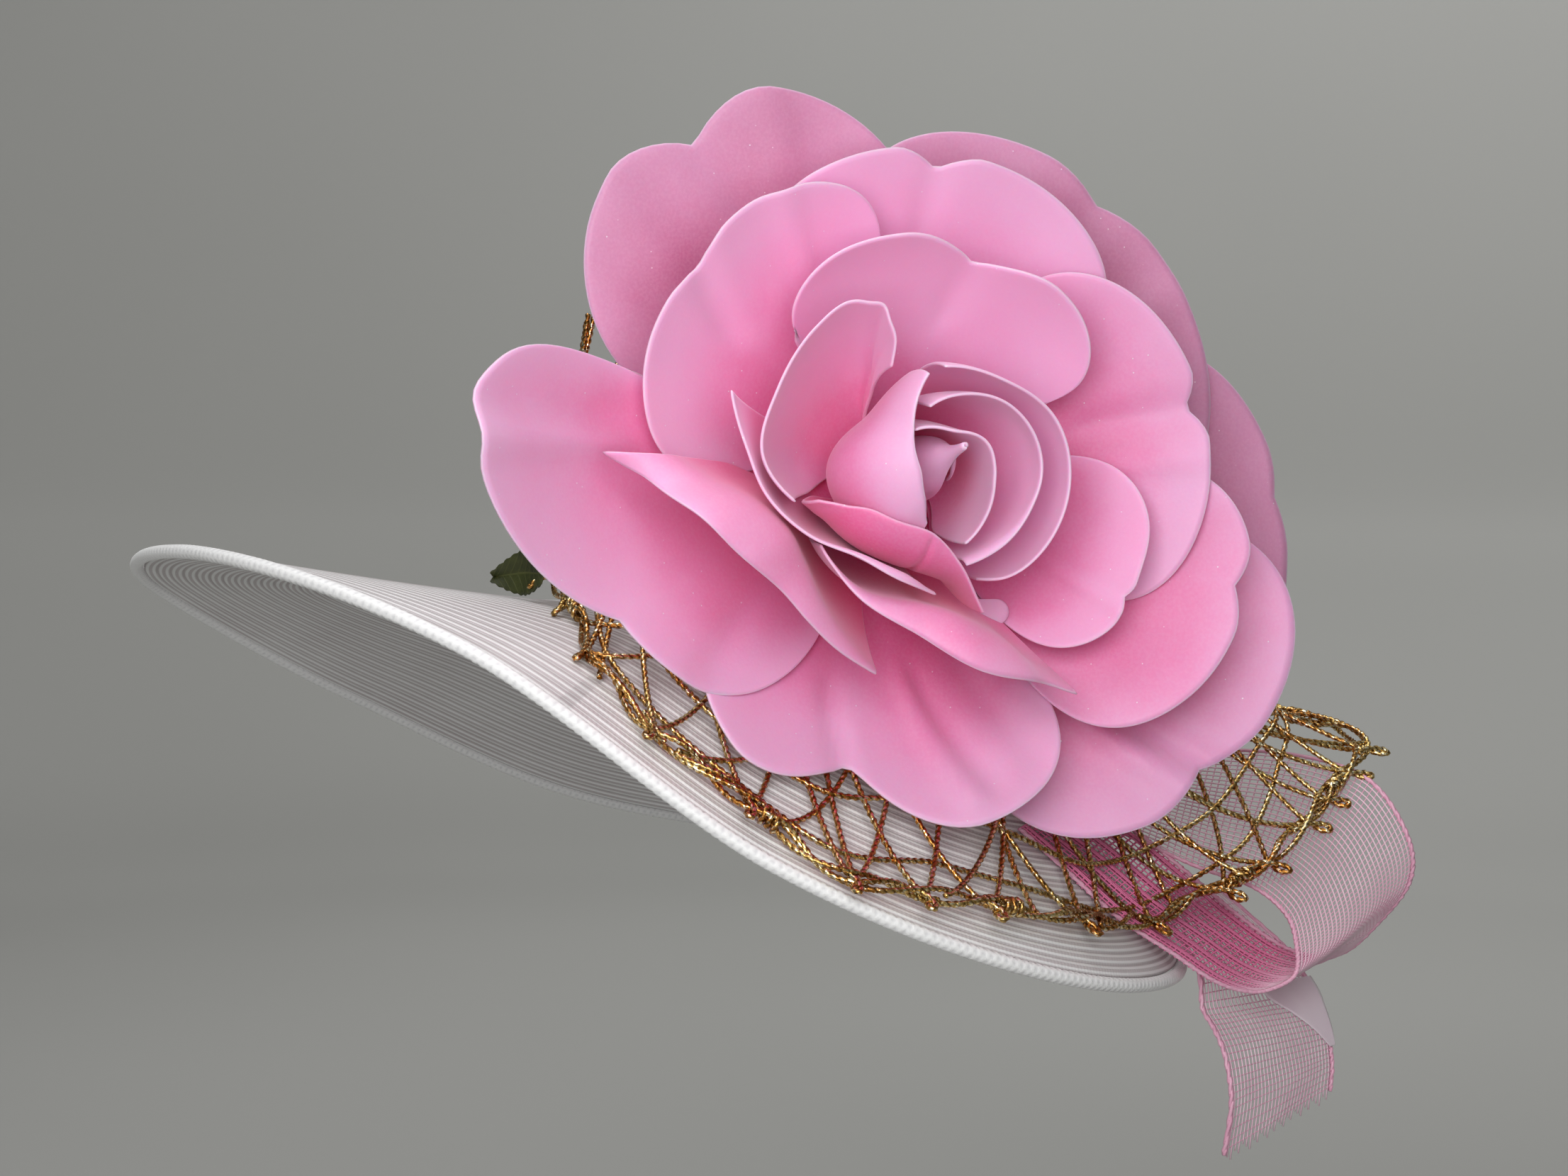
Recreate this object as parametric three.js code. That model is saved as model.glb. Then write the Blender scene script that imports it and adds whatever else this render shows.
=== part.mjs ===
// A wide-brimmed race day hat: a sewn braid crown and brim, a large foam rose on a stem, a gold cord net
// behind the rose, an open-mesh ribbon bow and a leaf. Millimetres, +Z up along the crown, origin at the
// centre of the head opening, -Y to the wearer's front, +X to the wearer's left.
import * as THREE from 'three';

// Driving dimensions
const HEAD_HALF_WIDTH = 80;
const HEAD_HALF_LENGTH = 95;
const BRAID_WALL = 2.4;
const CROWN_HEIGHT = 105;
const CROWN_SQUARENESS = 0.6;
const CROWN_SEAM_GAP = 0.4;
const CROWN_BASE = BRAID_WALL / 2 + CROWN_SEAM_GAP;
const EDGE_CORD_RADIUS = 3;
const EDGE_CORD_GAP = 0.9;
const FOAM_WALL = 1.8;
const ROSE_AT = new THREE.Vector3(78, -105, 58);
const ROSE_HEADING = 35;
const NET_WALL = 2.5;
const NET_BAR_SHARE = 0.2;
const NET_FALL_POWER = 1.4;
const RIBBON_WALL = 1.2;
const LEAF_WALL = 1.2;

const COLOUR = {
  braid: { color: 0xeeeeee, roughness: 0.45, metalness: 0 },
  foam: { color: 0xe88bbd, roughness: 0.7, metalness: 0 },
  gold: { color: 0xc79a3c, roughness: 0.3, metalness: 1 },
  mesh: { color: 0xe79fb9, roughness: 0.5, metalness: 0 },
  satin: { color: 0xe6c6d6, roughness: 0.3, metalness: 0 },
  leaf: { color: 0x4d5d20, roughness: 0.6, metalness: 0 },
};

// Brim edge: heading in degrees from the front towards the wearer's left, even steps round the hat
const BRIM_EDGE = [
  { heading: -160, reach: 199, height: -135, fall: 1.1 },
  { heading: -130, reach: 231, height: -113, fall: 1.2 },
  { heading: -100, reach: 260, height: -53, fall: 1.4 },
  { heading: -70, reach: 291, height: 9, fall: 1.3 },
  { heading: -40, reach: 266, height: 25, fall: 1.3 },
  { heading: -10, reach: 236, height: -7, fall: 1.3 },
  { heading: 20, reach: 216, height: -87, fall: 1.05 },
  { heading: 50, reach: 207, height: -134, fall: 0.95 },
  { heading: 80, reach: 192, height: -153, fall: 0.95 },
  { heading: 110, reach: 177, height: -149, fall: 1.0 },
  { heading: 140, reach: 177, height: -144, fall: 1.0 },
  { heading: 170, reach: 185, height: -142, fall: 1.05 },
];

// Open petals, outermost first: turn clockwise from the top and half the spread in degrees, length, height
// of the root, lean from the rose's axis at root and tip, share of the length at the sides, roundness of the
// top, lengthening towards the clockwise side, and the depth, place and width of the notch
const OPEN_PETALS = [
  ['petal_back_top_left', -30, 45, 159, 3, 86, 79, 0.35, 1.8, -0.05, 18, -0.03, 0.30],
  ['petal_back_top_right', 46, 50, 143, 2, 88, 81, 0.70, 2.6, 0.03, 6, -0.12, 0.22],
  ['petal_back_right', 100, 36, 178, 0, 90, 84, 0.60, 2.6, 0.12, 4, -0.20, 0.20],
  ['petal_back_low_right', 131, 34, 180, 3.2, 85, 64, 0.50, 2.6, -0.06, 8, 0.08, 0.30],
  ['petal_back_low', 189, 45, 143, 5.5, 83, 47, 0.45, 2.8, -0.09, 27, 0.06, 0.50],
  ['petal_back_left', -114, 43, 157, 7.6, 79, 48.5, 0.23, 4.0, 0.44, 23, -0.04, 0.70],
  ['petal_mid_top', 12, 42, 125, 8, 84, 56, 0.70, 2.8, -0.01, 9, -0.14, 0.20],
  ['petal_mid_left', -48, 42, 126, 9.8, 78, 46, 0.60, 2.4, 0.05, 7, -0.02, 0.20],
  ['petal_mid_right', 78, 44, 125, 11, 80, 53, 0.62, 2.4, 0.04, 8, -0.02, 0.15],
  ['petal_mid_low_right', 117, 30, 150, 8.7, 80, 49.7, 0.60, 2.4, 0.00, 6, -0.27, 0.25],
  ['petal_inner_top', 12, 53, 106, 13.8, 78, 24, 0.62, 3.0, -0.04, 15, 0.05, 0.40],
  ['petal_inner_right', 114, 30.5, 107, 13, 80, 39, 0.50, 2.6, 0.04, 3, 0.20, 0.12],
];
const OPEN_COLUMNS = ['name', 'turn', 'half', 'length', 'rootHeight', 'leanRoot', 'leanTip', 'shoulder',
  'roundness', 'skew', 'notch', 'notchAt', 'notchWide'];
const OPEN_ROOT_RADIUS = 9;
const ROOT_NARROW = 0.55;
const ROOT_NARROW_TO = 60;

// Bud petals by sections: turn, radius and height of the crest, lean there, fullness of the belly below it,
// and length and roll of a lip past it
const BUD_PETALS = [
  { name: 'petal_rolled_left', root: [9, 11], leanRoot: 82, sections: [
    [273, 98, 74, 30, 1.2, 34, 140], [268, 86, 76, 24, 1.2, 28, 100], [261, 70, 78, 18, 1.2, 40, 60],
    [249, 61, 80, 15, 1.2, 36, 65], [236, 61, 80, 15, 1.2, 23, 65], [222, 65, 79, 15, 1.2, 16, 60],
    [207, 71, 76, 20, 1.2, 9, 50], [195, 78, 72, 25, 1.2, 2, 20]] },
  { name: 'petal_lip_low', root: [9, 16], leanRoot: 84.5, sections: [
    [238, 52, 80, 5, 1.25, 1, 10], [229, 53, 82, 5, 1.25, 3, 20], [213, 53, 83, 5, 1.25, 7, 60],
    [190, 50, 83, 5, 1.25, 18, 80], [172, 54, 82, 5, 1.25, 30, 85], [158, 67, 80, 15, 1.25, 24, 70],
    [151, 85, 77, 30, 1.25, 10, 40], [145, 102, 74, 40, 1.25, 3, 20]] },
  { name: 'petal_side_left', root: [8, 20.2], leanRoot: 82.5, sections: [
    [290, 84, 84, 22, 1.1, 0, 0], [276, 74, 86, 18, 1.1, 0, 0], [262, 67, 87, 14, 1.1, 0, 0],
    [245, 56, 87, 8, 1.1, 1, 20], [225, 44, 87, 0, 1.1, 3, 60], [200, 41, 87, 0, 1.1, 5, 80],
    [180, 46, 82, 5, 1.1, 1, 20]] },
  { name: 'petal_folded_top', root: [8, 22.8], leanRoot: 82, sections: [
    [-102, 56, 84, 10, 1.1, 0, 0], [-85, 68, 86, 12, 1.1, 0, 0], [-65, 69, 88, 15, 1.1, 0, 0],
    [-44, 71, 90, 15, 1.1, 0, 0], [-30, 71, 90, 15, 1.1, 0, 0], [-22, 63, 89, 12, 1.1, 0, 0],
    [-19, 52, 86, 8, 1.1, 0, 0], [-23, 42, 80, 4, 1.1, 0, 0]] },
  { name: 'petal_bud_low', root: [8, 22.7], leanRoot: 84, sections: [
    [256, 46, 80, -20, 1.1, 0, 0], [250, 38, 84, -42, 1.15, 0, 0], [238, 29, 89, -60, 1.18, 0, 0],
    [204, 23, 91, -65, 1.18, 0, 0], [180, 26, 90, -62, 1.18, 0, 0], [165, 38, 86, -35, 1.18, 0, 0],
    [158, 58, 76, 0, 1.18, 0, 0]] },
  { name: 'bud_left', root: [7, 29], leanRoot: 75, sections: [
    [-12, 36, 97, -20, 0.9, 0, 0], [-45, 19, 97, -60, 1.0, 0, 0], [-90, 11, 98, -72, 1.6, 0, 0],
    [-140, 13, 95, -70, 1.3, 0, 0], [-165, 20, 88, -50, 1.1, 0, 0]] },
  { name: 'bud_right', root: [7, 27.5], leanRoot: 78, sections: [
    [0, 38, 93, -15, 1.15, 0, 0], [35, 41, 92, -8, 1.15, 0, 0], [68, 50, 88, 0, 1.15, 0, 0],
    [95, 53, 85, 0, 1.15, 0, 0], [124, 52, 84, 0, 1.15, 0, 0], [143, 50, 80, 0, 1.15, 0, 0],
    [153, 46, 70, 0, 1.15, 0, 0]] },
  { name: 'bud_third', root: [6.5, 29.5], leanRoot: 72, sections: [
    [-15, 24, 94, -10, 1.15, 0, 0], [15, 29, 93, -8, 1.15, 0, 0], [50, 36, 92, -5, 1.15, 0, 0],
    [85, 40, 89, 0, 1.15, 0, 0], [112, 38, 87, 0, 1.15, 2, 20], [138, 35, 86, 0, 1.15, 5, 50],
    [162, 35, 80, 0, 1.15, 5, 60]] },
  { name: 'bud_second', root: [6, 33], leanRoot: 60, sections: [
    [-40, 19, 95, -5, 1.15, 0, 0], [9, 14.5, 97, -5, 1.15, 0, 0], [55, 18.5, 96, 0, 1.15, 0, 0],
    [85, 19, 95, 0, 1.15, 0, 0], [107, 20, 94, 0, 1.15, 0, 0], [134, 24, 91, 0, 1.15, 0, 0],
    [160, 29, 88, 0, 1.15, 0, 0]] },
  { name: 'bud_core', root: [5, 38], leanRoot: 40, shift: [6, 9], sections: [
    [-200, 3.2, 100, -6, 1.2, 0, 0], [-120, 3, 100, -6, 1.2, 0, 0], [-40, 2.8, 99, -6, 1.2, 0, 0],
    [40, 2.6, 99, -6, 1.2, 0, 0], [120, 2.4, 98, -6, 1.2, 0, 0]] },
];

// Net: heading, reach and height of the rim, reach and height of the upper edge
const NET_SECTIONS = [
  [-41, 122, 40, 104, 84], [-34, 130, 32, 104, 126], [-22, 146, 16, 108, 128], [-9, 168, 2, 110, 110],
  [0, 202, -18, 112, 62], [9, 212, -44, 114, 34], [18, 212, -69, 116, 29], [27, 218, -93, 118, 29],
  [38, 210, -104, 118, 30], [52, 199, -115, 118, 30], [66, 192, -126, 114, 34], [80, 196, -127, 108, 45],
  [90, 228, -108, 104, 55], [98, 252, -82, 100, 50], [104, 268, -62, 98, 45], [114, 236, -52, 96, 30],
  [126, 198, -48, 94, 15],
];
const NET_CELLS_ROUND = 15;
const NET_CELLS_DOWN = 6;
const NET_SLANT = 0.9;

// Ribbon stations, near edge then far edge: the bow from its upper end round the bend to its lower end
const BOW_STATIONS = [
  [145, -45, -84, 148, 31, -67], [169, -10, -100, 168, 64, -70], [195, 1, -113, 197, 70, -69],
  [219, 7, -122, 234, 64, -70], [234, 3, -133, 264, 45, -77], [239, -3, -146, 281, 39, -99],
  [239, -8, -156, 283, 42, -120], [232, -15, -161, 269, 48, -141], [222, -23, -162, 251, 47, -157],
  [209, -34, -156, 230, 37, -154], [192, -46, -142, 208, 24, -137], [173, -62, -126, 190, 1, -116],
  [154, -72, -107, 168, -8, -97], [136, -84, -88, 149, -44, -78],
];
// The tail from the bow's underside over the brim's edge to its free end, left edge then right edge
const TAIL_STATIONS = [
  [172, -24, -122, 196, 44, -128], [190, -20, -140, 216, 48, -146], [199, -18, -156, 229, 50, -158],
  [201, -20, -171, 241, 46, -174], [207, -25, -178, 245, 40, -181],
  [212, -30, -186, 248, 37, -189], [215, -34, -198, 250, 33, -197], [216, -36, -210, 251, 31, -204],
  [214, -37, -227, 250, 30, -213],
];
// The satin piece in front of the tail: place along the tail and where across it starts
const SATIN_ROWS = [[0.33, 0.5], [0.4, 0.56], [0.51, 0.7], [0.62, 0.84], [0.73, 0.96]];
const SATIN_LIFT = 2;

// Leaf: place of the centreline and half the blade's width, from the tip to the hidden root
const LEAF_STATIONS = [
  [-82, -133, 15, 1.5], [-75, -133, 16, 6], [-66, -135, 17, 9], [-59, -140, 17, 8], [-51, -147, 17, 4],
];
const LEAF_TEETH = 7;
const LEAF_TOOTH = 1.2;

// Rose base: radius and height along the rose's axis, from the stem's foot up through the petals' roots
const BASE_PROFILE = [
  [0, -43], [5, -43], [6, -8], [20, -4.4], [20, -2], [7.3, -2], [7.3, 15], [6.2, 17], [6.2, 19.5], [5.2, 23],
  [5.2, 26], [4.3, 29], [3.6, 35], [0, 35.5],
];

const radians = THREE.MathUtils.degToRad;

function smooth(x) {
  const c = Math.min(Math.max(x, 0), 1);
  return c * c * (3 - 2 * c);
}

function spline(a, b, c, d, f) {
  const bend = 2 * a - 5 * b + 4 * c - d;
  const twist = 3 * b - a - 3 * c + d;
  return b + 0.5 * ((c - a) * f + bend * f ** 2 + twist * f ** 3);
}

// Smooth value of one column of a table whose rows go evenly round the hat
function roundValue(rows, heading, column) {
  const k = (heading - rows[0].heading) / (360 / rows.length);
  const i = Math.floor(k);
  const at = (j) => rows[((j % rows.length) + rows.length) % rows.length][column];
  return spline(at(i - 1), at(i), at(i + 1), at(i + 2), k - i);
}

// Smooth value of one column of an open table, share 0 at its first row and 1 at its last
function openValue(rows, share, column) {
  const k = share * (rows.length - 1);
  const i = Math.min(Math.max(Math.floor(k), 0), rows.length - 2);
  const at = (j) => rows[Math.min(Math.max(j, 0), rows.length - 1)][column];
  return spline(at(i - 1), at(i), at(i + 1), at(i + 2), k - i);
}

function steps(count, from = 0, to = 1) {
  return Array.from({ length: count }, (_, i) => from + ((to - from) * i) / (count - 1));
}

function geometryOf(points, faces) {
  const geometry = new THREE.BufferGeometry();
  geometry.setAttribute('position', new THREE.Float32BufferAttribute(points.flatMap((p) => p.toArray()), 3));
  geometry.setIndex(faces.flat());
  geometry.computeVertexNormals();
  return geometry;
}

// Normal of a grid of middle points at row i, column j, from its neighbours
function gridNormal(grid, i, j, closed) {
  const n = grid.length;
  const m = grid[0].length;
  const before = closed ? grid[(i + n - 1) % n][j] : grid[Math.max(i - 1, 0)][j];
  const after = closed ? grid[(i + 1) % n][j] : grid[Math.min(i + 1, n - 1)][j];
  const across = after.clone().sub(before);
  const along = grid[i][Math.min(j + 1, m - 1)].clone().sub(grid[i][Math.max(j - 1, 0)]);
  return across.cross(along).normalize();
}

// A closed wall round a grid of middle points; closed joins the last row to the first
function wall(grid, thickness, closed = false) {
  const n = grid.length;
  const m = grid[0].length;
  const side = (sign) => grid.map((row, i) => row.map((p, j) =>
    p.clone().addScaledVector(gridNormal(grid, i, j, closed), (sign * thickness) / 2)));
  const points = [...side(1).flat(), ...side(-1).flat()];
  const front = (i, j) => (i % n) * m + j;
  const back = (i, j) => n * m + front(i, j);
  const faces = [];
  const quad = (a, b, c, d) => faces.push([a, b, c], [a, c, d]);
  for (let i = 0; i < (closed ? n : n - 1); i += 1) {
    for (let j = 0; j < m - 1; j += 1) {
      quad(front(i, j), front(i + 1, j), front(i + 1, j + 1), front(i, j + 1));
      quad(back(i, j), back(i, j + 1), back(i + 1, j + 1), back(i + 1, j));
    }
    quad(front(i, 0), back(i, 0), back(i + 1, 0), front(i + 1, 0));
    quad(front(i, m - 1), front(i + 1, m - 1), back(i + 1, m - 1), back(i, m - 1));
  }
  for (let j = 0; j < m - 1 && !closed; j += 1) {
    quad(front(0, j), front(0, j + 1), back(0, j + 1), back(0, j));
    quad(front(n - 1, j), back(n - 1, j), back(n - 1, j + 1), front(n - 1, j + 1));
  }
  return geometryOf(points, faces);
}

function mesh(name, geometry, finish) {
  const made = new THREE.Mesh(geometry, new THREE.MeshStandardMaterial(finish));
  made.name = name;
  return made;
}

function polar(heading, reach, height) {
  const a = radians(heading);
  return new THREE.Vector3(reach * Math.sin(a), -reach * Math.cos(a), height);
}

function brimPoint(heading, share) {
  const a = radians(heading);
  const reach = roundValue(BRIM_EDGE, heading, 'reach');
  const height = roundValue(BRIM_EDGE, heading, 'height');
  const fall = roundValue(BRIM_EDGE, heading, 'fall');
  const x = (HEAD_HALF_WIDTH + (reach - HEAD_HALF_WIDTH) * share) * Math.sin(a);
  const y = -(HEAD_HALF_LENGTH + (reach - HEAD_HALF_LENGTH) * share) * Math.cos(a);
  return new THREE.Vector3(x, y, height * share ** fall);
}

function brim() {
  const sections = 40;
  const rows = steps(7);
  const headings = Array.from({ length: sections }, (_, i) => (360 * i) / sections);
  const grid = headings.map((heading) => rows.map((share) => brimPoint(heading, share)));
  return wall(grid, BRAID_WALL, true);
}

// The knitted cord that binds the brim: a ring of six-sided sections just past the brim's edge
function brimEdge() {
  const sections = 60;
  const sides = 6;
  const points = [];
  const faces = [];
  for (let i = 0; i < sections; i += 1) {
    const heading = (360 * i) / sections;
    const edge = brimPoint(heading, 1);
    const out = edge.clone().sub(brimPoint(heading, 0.97)).normalize();
    const along = brimPoint(heading + 1, 1).sub(brimPoint(heading - 1, 1)).normalize();
    const up = out.clone().cross(along).normalize();
    const centre = edge.addScaledVector(out, EDGE_CORD_RADIUS + EDGE_CORD_GAP);
    for (let k = 0; k < sides; k += 1) {
      const turn = (2 * Math.PI * k) / sides;
      points.push(centre.clone().addScaledVector(out, EDGE_CORD_RADIUS * Math.cos(turn))
        .addScaledVector(up, EDGE_CORD_RADIUS * Math.sin(turn)));
    }
  }
  for (let i = 0; i < sections; i += 1) {
    for (let k = 0; k < sides; k += 1) {
      const a = i * sides + k;
      const b = i * sides + ((k + 1) % sides);
      const c = ((i + 1) % sections) * sides + ((k + 1) % sides);
      const d = ((i + 1) % sections) * sides + k;
      faces.push([a, c, b], [a, d, c]);
    }
  }
  return geometryOf(points, faces);
}

// Half profile of the crown at full size along the head's length, turned and then narrowed across
function crown() {
  const rows = 7;
  const dome = (radius, height) => steps(rows, 0, Math.PI / 2).map((a) =>
    new THREE.Vector2(radius * Math.cos(a) ** CROWN_SQUARENESS, CROWN_BASE + height * Math.sin(a)));
  const outer = dome(HEAD_HALF_LENGTH + BRAID_WALL, CROWN_HEIGHT);
  const inner = dome(HEAD_HALF_LENGTH, CROWN_HEIGHT - BRAID_WALL);
  outer[rows - 1].x = 0;
  inner[rows - 1].x = 0;
  const geometry = new THREE.LatheGeometry([...inner.reverse(), ...outer], 32);
  geometry.rotateX(Math.PI / 2);
  geometry.scale((HEAD_HALF_WIDTH + BRAID_WALL) / (HEAD_HALF_LENGTH + BRAID_WALL), 1, 1);
  return geometry;
}

// Share of a petal's length that its outline reaches at u across, -1 to 1
function petalTop(petal, u) {
  const arc = (1 - Math.abs(u) ** petal.roundness) ** (1 / petal.roundness);
  const top = (petal.shoulder + (1 - petal.shoulder) * arc) * (1 + petal.skew * u);
  const dip = Math.max(1 - Math.abs(u - petal.notchAt) / petal.notchWide, 0) ** 1.6;
  return top - (petal.notch / petal.length) * dip;
}

// Sample places across a petal, close together at its sides and with one in the notch
function petalAcross(petal, count) {
  const across = steps(count, -Math.PI / 2, Math.PI / 2).map(Math.sin);
  if (petal.notch > 0) {
    const gaps = across.map((u) => Math.abs(u - petal.notchAt));
    across[gaps.indexOf(Math.min(...gaps))] = petal.notchAt;
  }
  return across;
}

// A point of the rose's frame, the axis along Z and the top of the rose along Y
function rosePoint(turn, radius, height, shift = [0, 0]) {
  const a = radians(turn);
  return new THREE.Vector3(radius * Math.sin(a) + shift[0], radius * Math.cos(a) + shift[1], height);
}

function openPetal(petal) {
  const rows = 6;
  const fine = 6;
  const grid = petalAcross(petal, 11).map((u) => {
    const end = petal.length * petalTop(petal, u);
    const row = [];
    let radius = OPEN_ROOT_RADIUS;
    let height = petal.rootHeight;
    for (let k = 0; k <= (rows - 1) * fine; k += 1) {
      const along = (end * k) / ((rows - 1) * fine);
      if (k > 0) {
        const step = end / ((rows - 1) * fine);
        const middle = (along - step / 2) / petal.length;
        const lean = radians(petal.leanRoot + (petal.leanTip - petal.leanRoot) * middle);
        radius += step * Math.sin(lean);
        height += step * Math.cos(lean);
      }
      if (k % fine === 0) {
        const narrow = ROOT_NARROW + (1 - ROOT_NARROW) * smooth(along / ROOT_NARROW_TO);
        row.push(rosePoint(petal.turn + petal.half * u * narrow, radius, height));
      }
    }
    return row;
  });
  return wall(grid, FOAM_WALL);
}

function budPetal(petal) {
  const across = steps(9);
  const along = steps(7);
  const first = petal.sections[0][0];
  const last = petal.sections[petal.sections.length - 1][0];
  const middle = (first + last) / 2;
  const [rootRadius, rootHeight] = petal.root;
  const grid = across.map((share) => {
    const [turn, radius, height, lean, swell, lipLength, roll] = steps(7, 0, 6).map((c) =>
      openValue(petal.sections, share, c));
    const lip = Math.max(lipLength, 0);
    const chord = Math.hypot(radius - rootRadius, height - rootHeight);
    const pull = swell * chord;
    const crestAt = chord / (chord + lip);
    const leanRoot = radians(petal.leanRoot);
    const leanCrest = radians(lean);
    return along.map((v) => {
      const t = Math.min(v / crestAt, 1);
      const fromRoot = 2 * t ** 3 - 3 * t ** 2 + 1;
      const outOfRoot = t ** 3 - 2 * t ** 2 + t;
      const toCrest = 1 - fromRoot;
      const intoCrest = t ** 3 - t ** 2;
      let r = fromRoot * rootRadius + toCrest * radius
        + pull * (outOfRoot * Math.sin(leanRoot) + intoCrest * Math.sin(leanCrest));
      let h = fromRoot * rootHeight + toCrest * height
        + pull * (outOfRoot * Math.cos(leanRoot) + intoCrest * Math.cos(leanCrest));
      const past = lip > 0 ? Math.max((v - crestAt) / (1 - crestAt), 0) : 0;
      const parts = 8;
      for (let k = 0; k < parts && past > 0; k += 1) {
        const bend = leanCrest + radians(roll) * past * ((k + 0.5) / parts);
        r += (Math.sin(bend) * past * lip) / parts;
        h += (Math.cos(bend) * past * lip) / parts;
      }
      const narrow = 0.6 + 0.4 * smooth(v / 0.5);
      const shift = (petal.shift ?? [0, 0]).map((s) => s * v * v);
      return rosePoint(middle + (turn - middle) * narrow, r, h, shift);
    });
  });
  return wall(grid, FOAM_WALL);
}

function netPoint(round, down) {
  const [heading, rimReach, rimHeight, topReach, topHeight] = steps(5, 0, 4).map((c) =>
    openValue(NET_SECTIONS, Math.min(Math.max(round, 0), 1), c));
  const fall = 1 - (1 - down) ** NET_FALL_POWER;
  return polar(heading, topReach + (rimReach - topReach) * down, topHeight + (rimHeight - topHeight) * fall);
}

// The net as a slanted lattice of four-sided cells, each with its gap cut through
function goldNet() {
  const nodeAt = (i, j) => {
    const slant = NET_SLANT * (j / NET_CELLS_DOWN) * Math.sin((Math.PI * i) / NET_CELLS_ROUND);
    return netPoint((i + slant) / NET_CELLS_ROUND, j / NET_CELLS_DOWN);
  };
  const grid = steps(NET_CELLS_ROUND + 1, 0, NET_CELLS_ROUND).map((i) =>
    steps(NET_CELLS_DOWN + 1, 0, NET_CELLS_DOWN).map((j) => nodeAt(Math.round(i), Math.round(j))));
  const n = grid.length;
  const m = grid[0].length;
  const points = [];
  const faces = [];
  const quad = (a, b, c, d) => faces.push([a, b, c], [a, c, d]);
  const corner = grid.map((row, i) => row.map((p, j) => {
    const normal = gridNormal(grid, i, j, false).multiplyScalar(NET_WALL / 2);
    points.push(p.clone().add(normal), p.clone().sub(normal));
    return points.length - 2;
  }));
  for (let i = 0; i < n - 1; i += 1) {
    for (let j = 0; j < m - 1; j += 1) {
      const ring = [corner[i][j], corner[i + 1][j], corner[i + 1][j + 1], corner[i][j + 1]];
      const hole = [0, 1].map((layer) => {
        const centre = new THREE.Vector3();
        ring.forEach((k) => centre.addScaledVector(points[k + layer], 0.25));
        return ring.map((k) => points.push(points[k + layer].clone().lerp(centre, NET_BAR_SHARE)) - 1);
      });
      for (let k = 0; k < 4; k += 1) {
        const next = (k + 1) % 4;
        quad(ring[k], ring[next], hole[0][next], hole[0][k]);
        quad(ring[k] + 1, hole[1][k], hole[1][next], ring[next] + 1);
        quad(hole[0][k], hole[0][next], hole[1][next], hole[1][k]);
      }
    }
  }
  const rim = (a, b) => quad(b, a, a + 1, b + 1);
  for (let i = 0; i < n - 1; i += 1) {
    rim(corner[i][0], corner[i + 1][0]);
    rim(corner[i + 1][m - 1], corner[i][m - 1]);
  }
  for (let j = 0; j < m - 1; j += 1) {
    rim(corner[n - 1][j], corner[n - 1][j + 1]);
    rim(corner[0][j + 1], corner[0][j]);
  }
  return geometryOf(points, faces);
}

// A strip between two edges given by stations; across goes from the first edge (0) to the second (1)
function stripPoint(stations, along, across) {
  const [ax, ay, az, bx, by, bz] = steps(6, 0, 5).map((c) => openValue(stations, along, c));
  return new THREE.Vector3(ax, ay, az).lerp(new THREE.Vector3(bx, by, bz), across);
}

function strip(stations, countAlong, countAcross) {
  const grid = steps(countAlong).map((along) => steps(countAcross).map((across) =>
    stripPoint(stations, along, across)));
  return wall(grid, RIBBON_WALL);
}

function satin() {
  const grid = steps(7).map((v) => {
    const [along, from] = [0, 1].map((c) => openValue(SATIN_ROWS, v, c));
    const start = stripPoint(TAIL_STATIONS, along, 0);
    const down = stripPoint(TAIL_STATIONS, along + 0.05, 0.5).sub(stripPoint(TAIL_STATIONS, along, 0.5));
    const facing = stripPoint(TAIL_STATIONS, along, 1).sub(start).cross(down).normalize();
    return steps(3, from, 1.01).map((across) =>
      stripPoint(TAIL_STATIONS, along, across).addScaledVector(facing, SATIN_LIFT));
  });
  return wall(grid, RIBBON_WALL);
}

// A folded blade with toothed sides: the midrib lies a little behind its two halves
function leaf() {
  const count = 2 * LEAF_TEETH + 1;
  const grid = steps(count).map((v, i) => {
    const [x, y, z, half] = steps(4, 0, 3).map((c) => openValue(LEAF_STATIONS, v, c));
    const reach = half + (i % 2 === 1 ? LEAF_TOOTH : 0);
    return steps(3, -1, 1).map((u) => new THREE.Vector3(x, y + 3 - 3 * Math.abs(u), z + u * reach));
  });
  return wall(grid, LEAF_WALL);
}

function roseBase() {
  const geometry = new THREE.LatheGeometry(BASE_PROFILE.map(([r, h]) => new THREE.Vector2(r, h)), 12);
  geometry.rotateX(Math.PI / 2);
  return geometry;
}

const hat = new THREE.Group();
hat.add(mesh('crown', crown(), COLOUR.braid));
hat.add(mesh('brim', brim(), COLOUR.braid));
hat.add(mesh('brim_edge', brimEdge(), COLOUR.braid));
hat.add(mesh('gold_net', goldNet(), COLOUR.gold));

hat.add(mesh('crin_bow', strip(BOW_STATIONS, 20, 4), COLOUR.mesh));
hat.add(mesh('crin_tail', strip(TAIL_STATIONS, 14, 4), COLOUR.mesh));
hat.add(mesh('satin_tail', satin(), COLOUR.satin));
hat.add(mesh('leaf', leaf(), COLOUR.leaf));

// The rose's own group: its axis is level and faces its heading, its Y points up
const rose = new THREE.Group();
rose.position.copy(ROSE_AT);
rose.rotation.set(Math.PI / 2, radians(ROSE_HEADING), 0);
rose.add(mesh('rose_base', roseBase(), COLOUR.foam));
for (const row of OPEN_PETALS) {
  const petal = Object.fromEntries(OPEN_COLUMNS.map((column, k) => [column, row[k]]));
  rose.add(mesh(petal.name, openPetal(petal), COLOUR.foam));
}
for (const petal of BUD_PETALS) {
  rose.add(mesh(petal.name, budPetal(petal), COLOUR.foam));
}
hat.add(rose);

export default hat;
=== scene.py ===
import bpy
import numpy as np
from mathutils import Matrix, Vector


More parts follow.
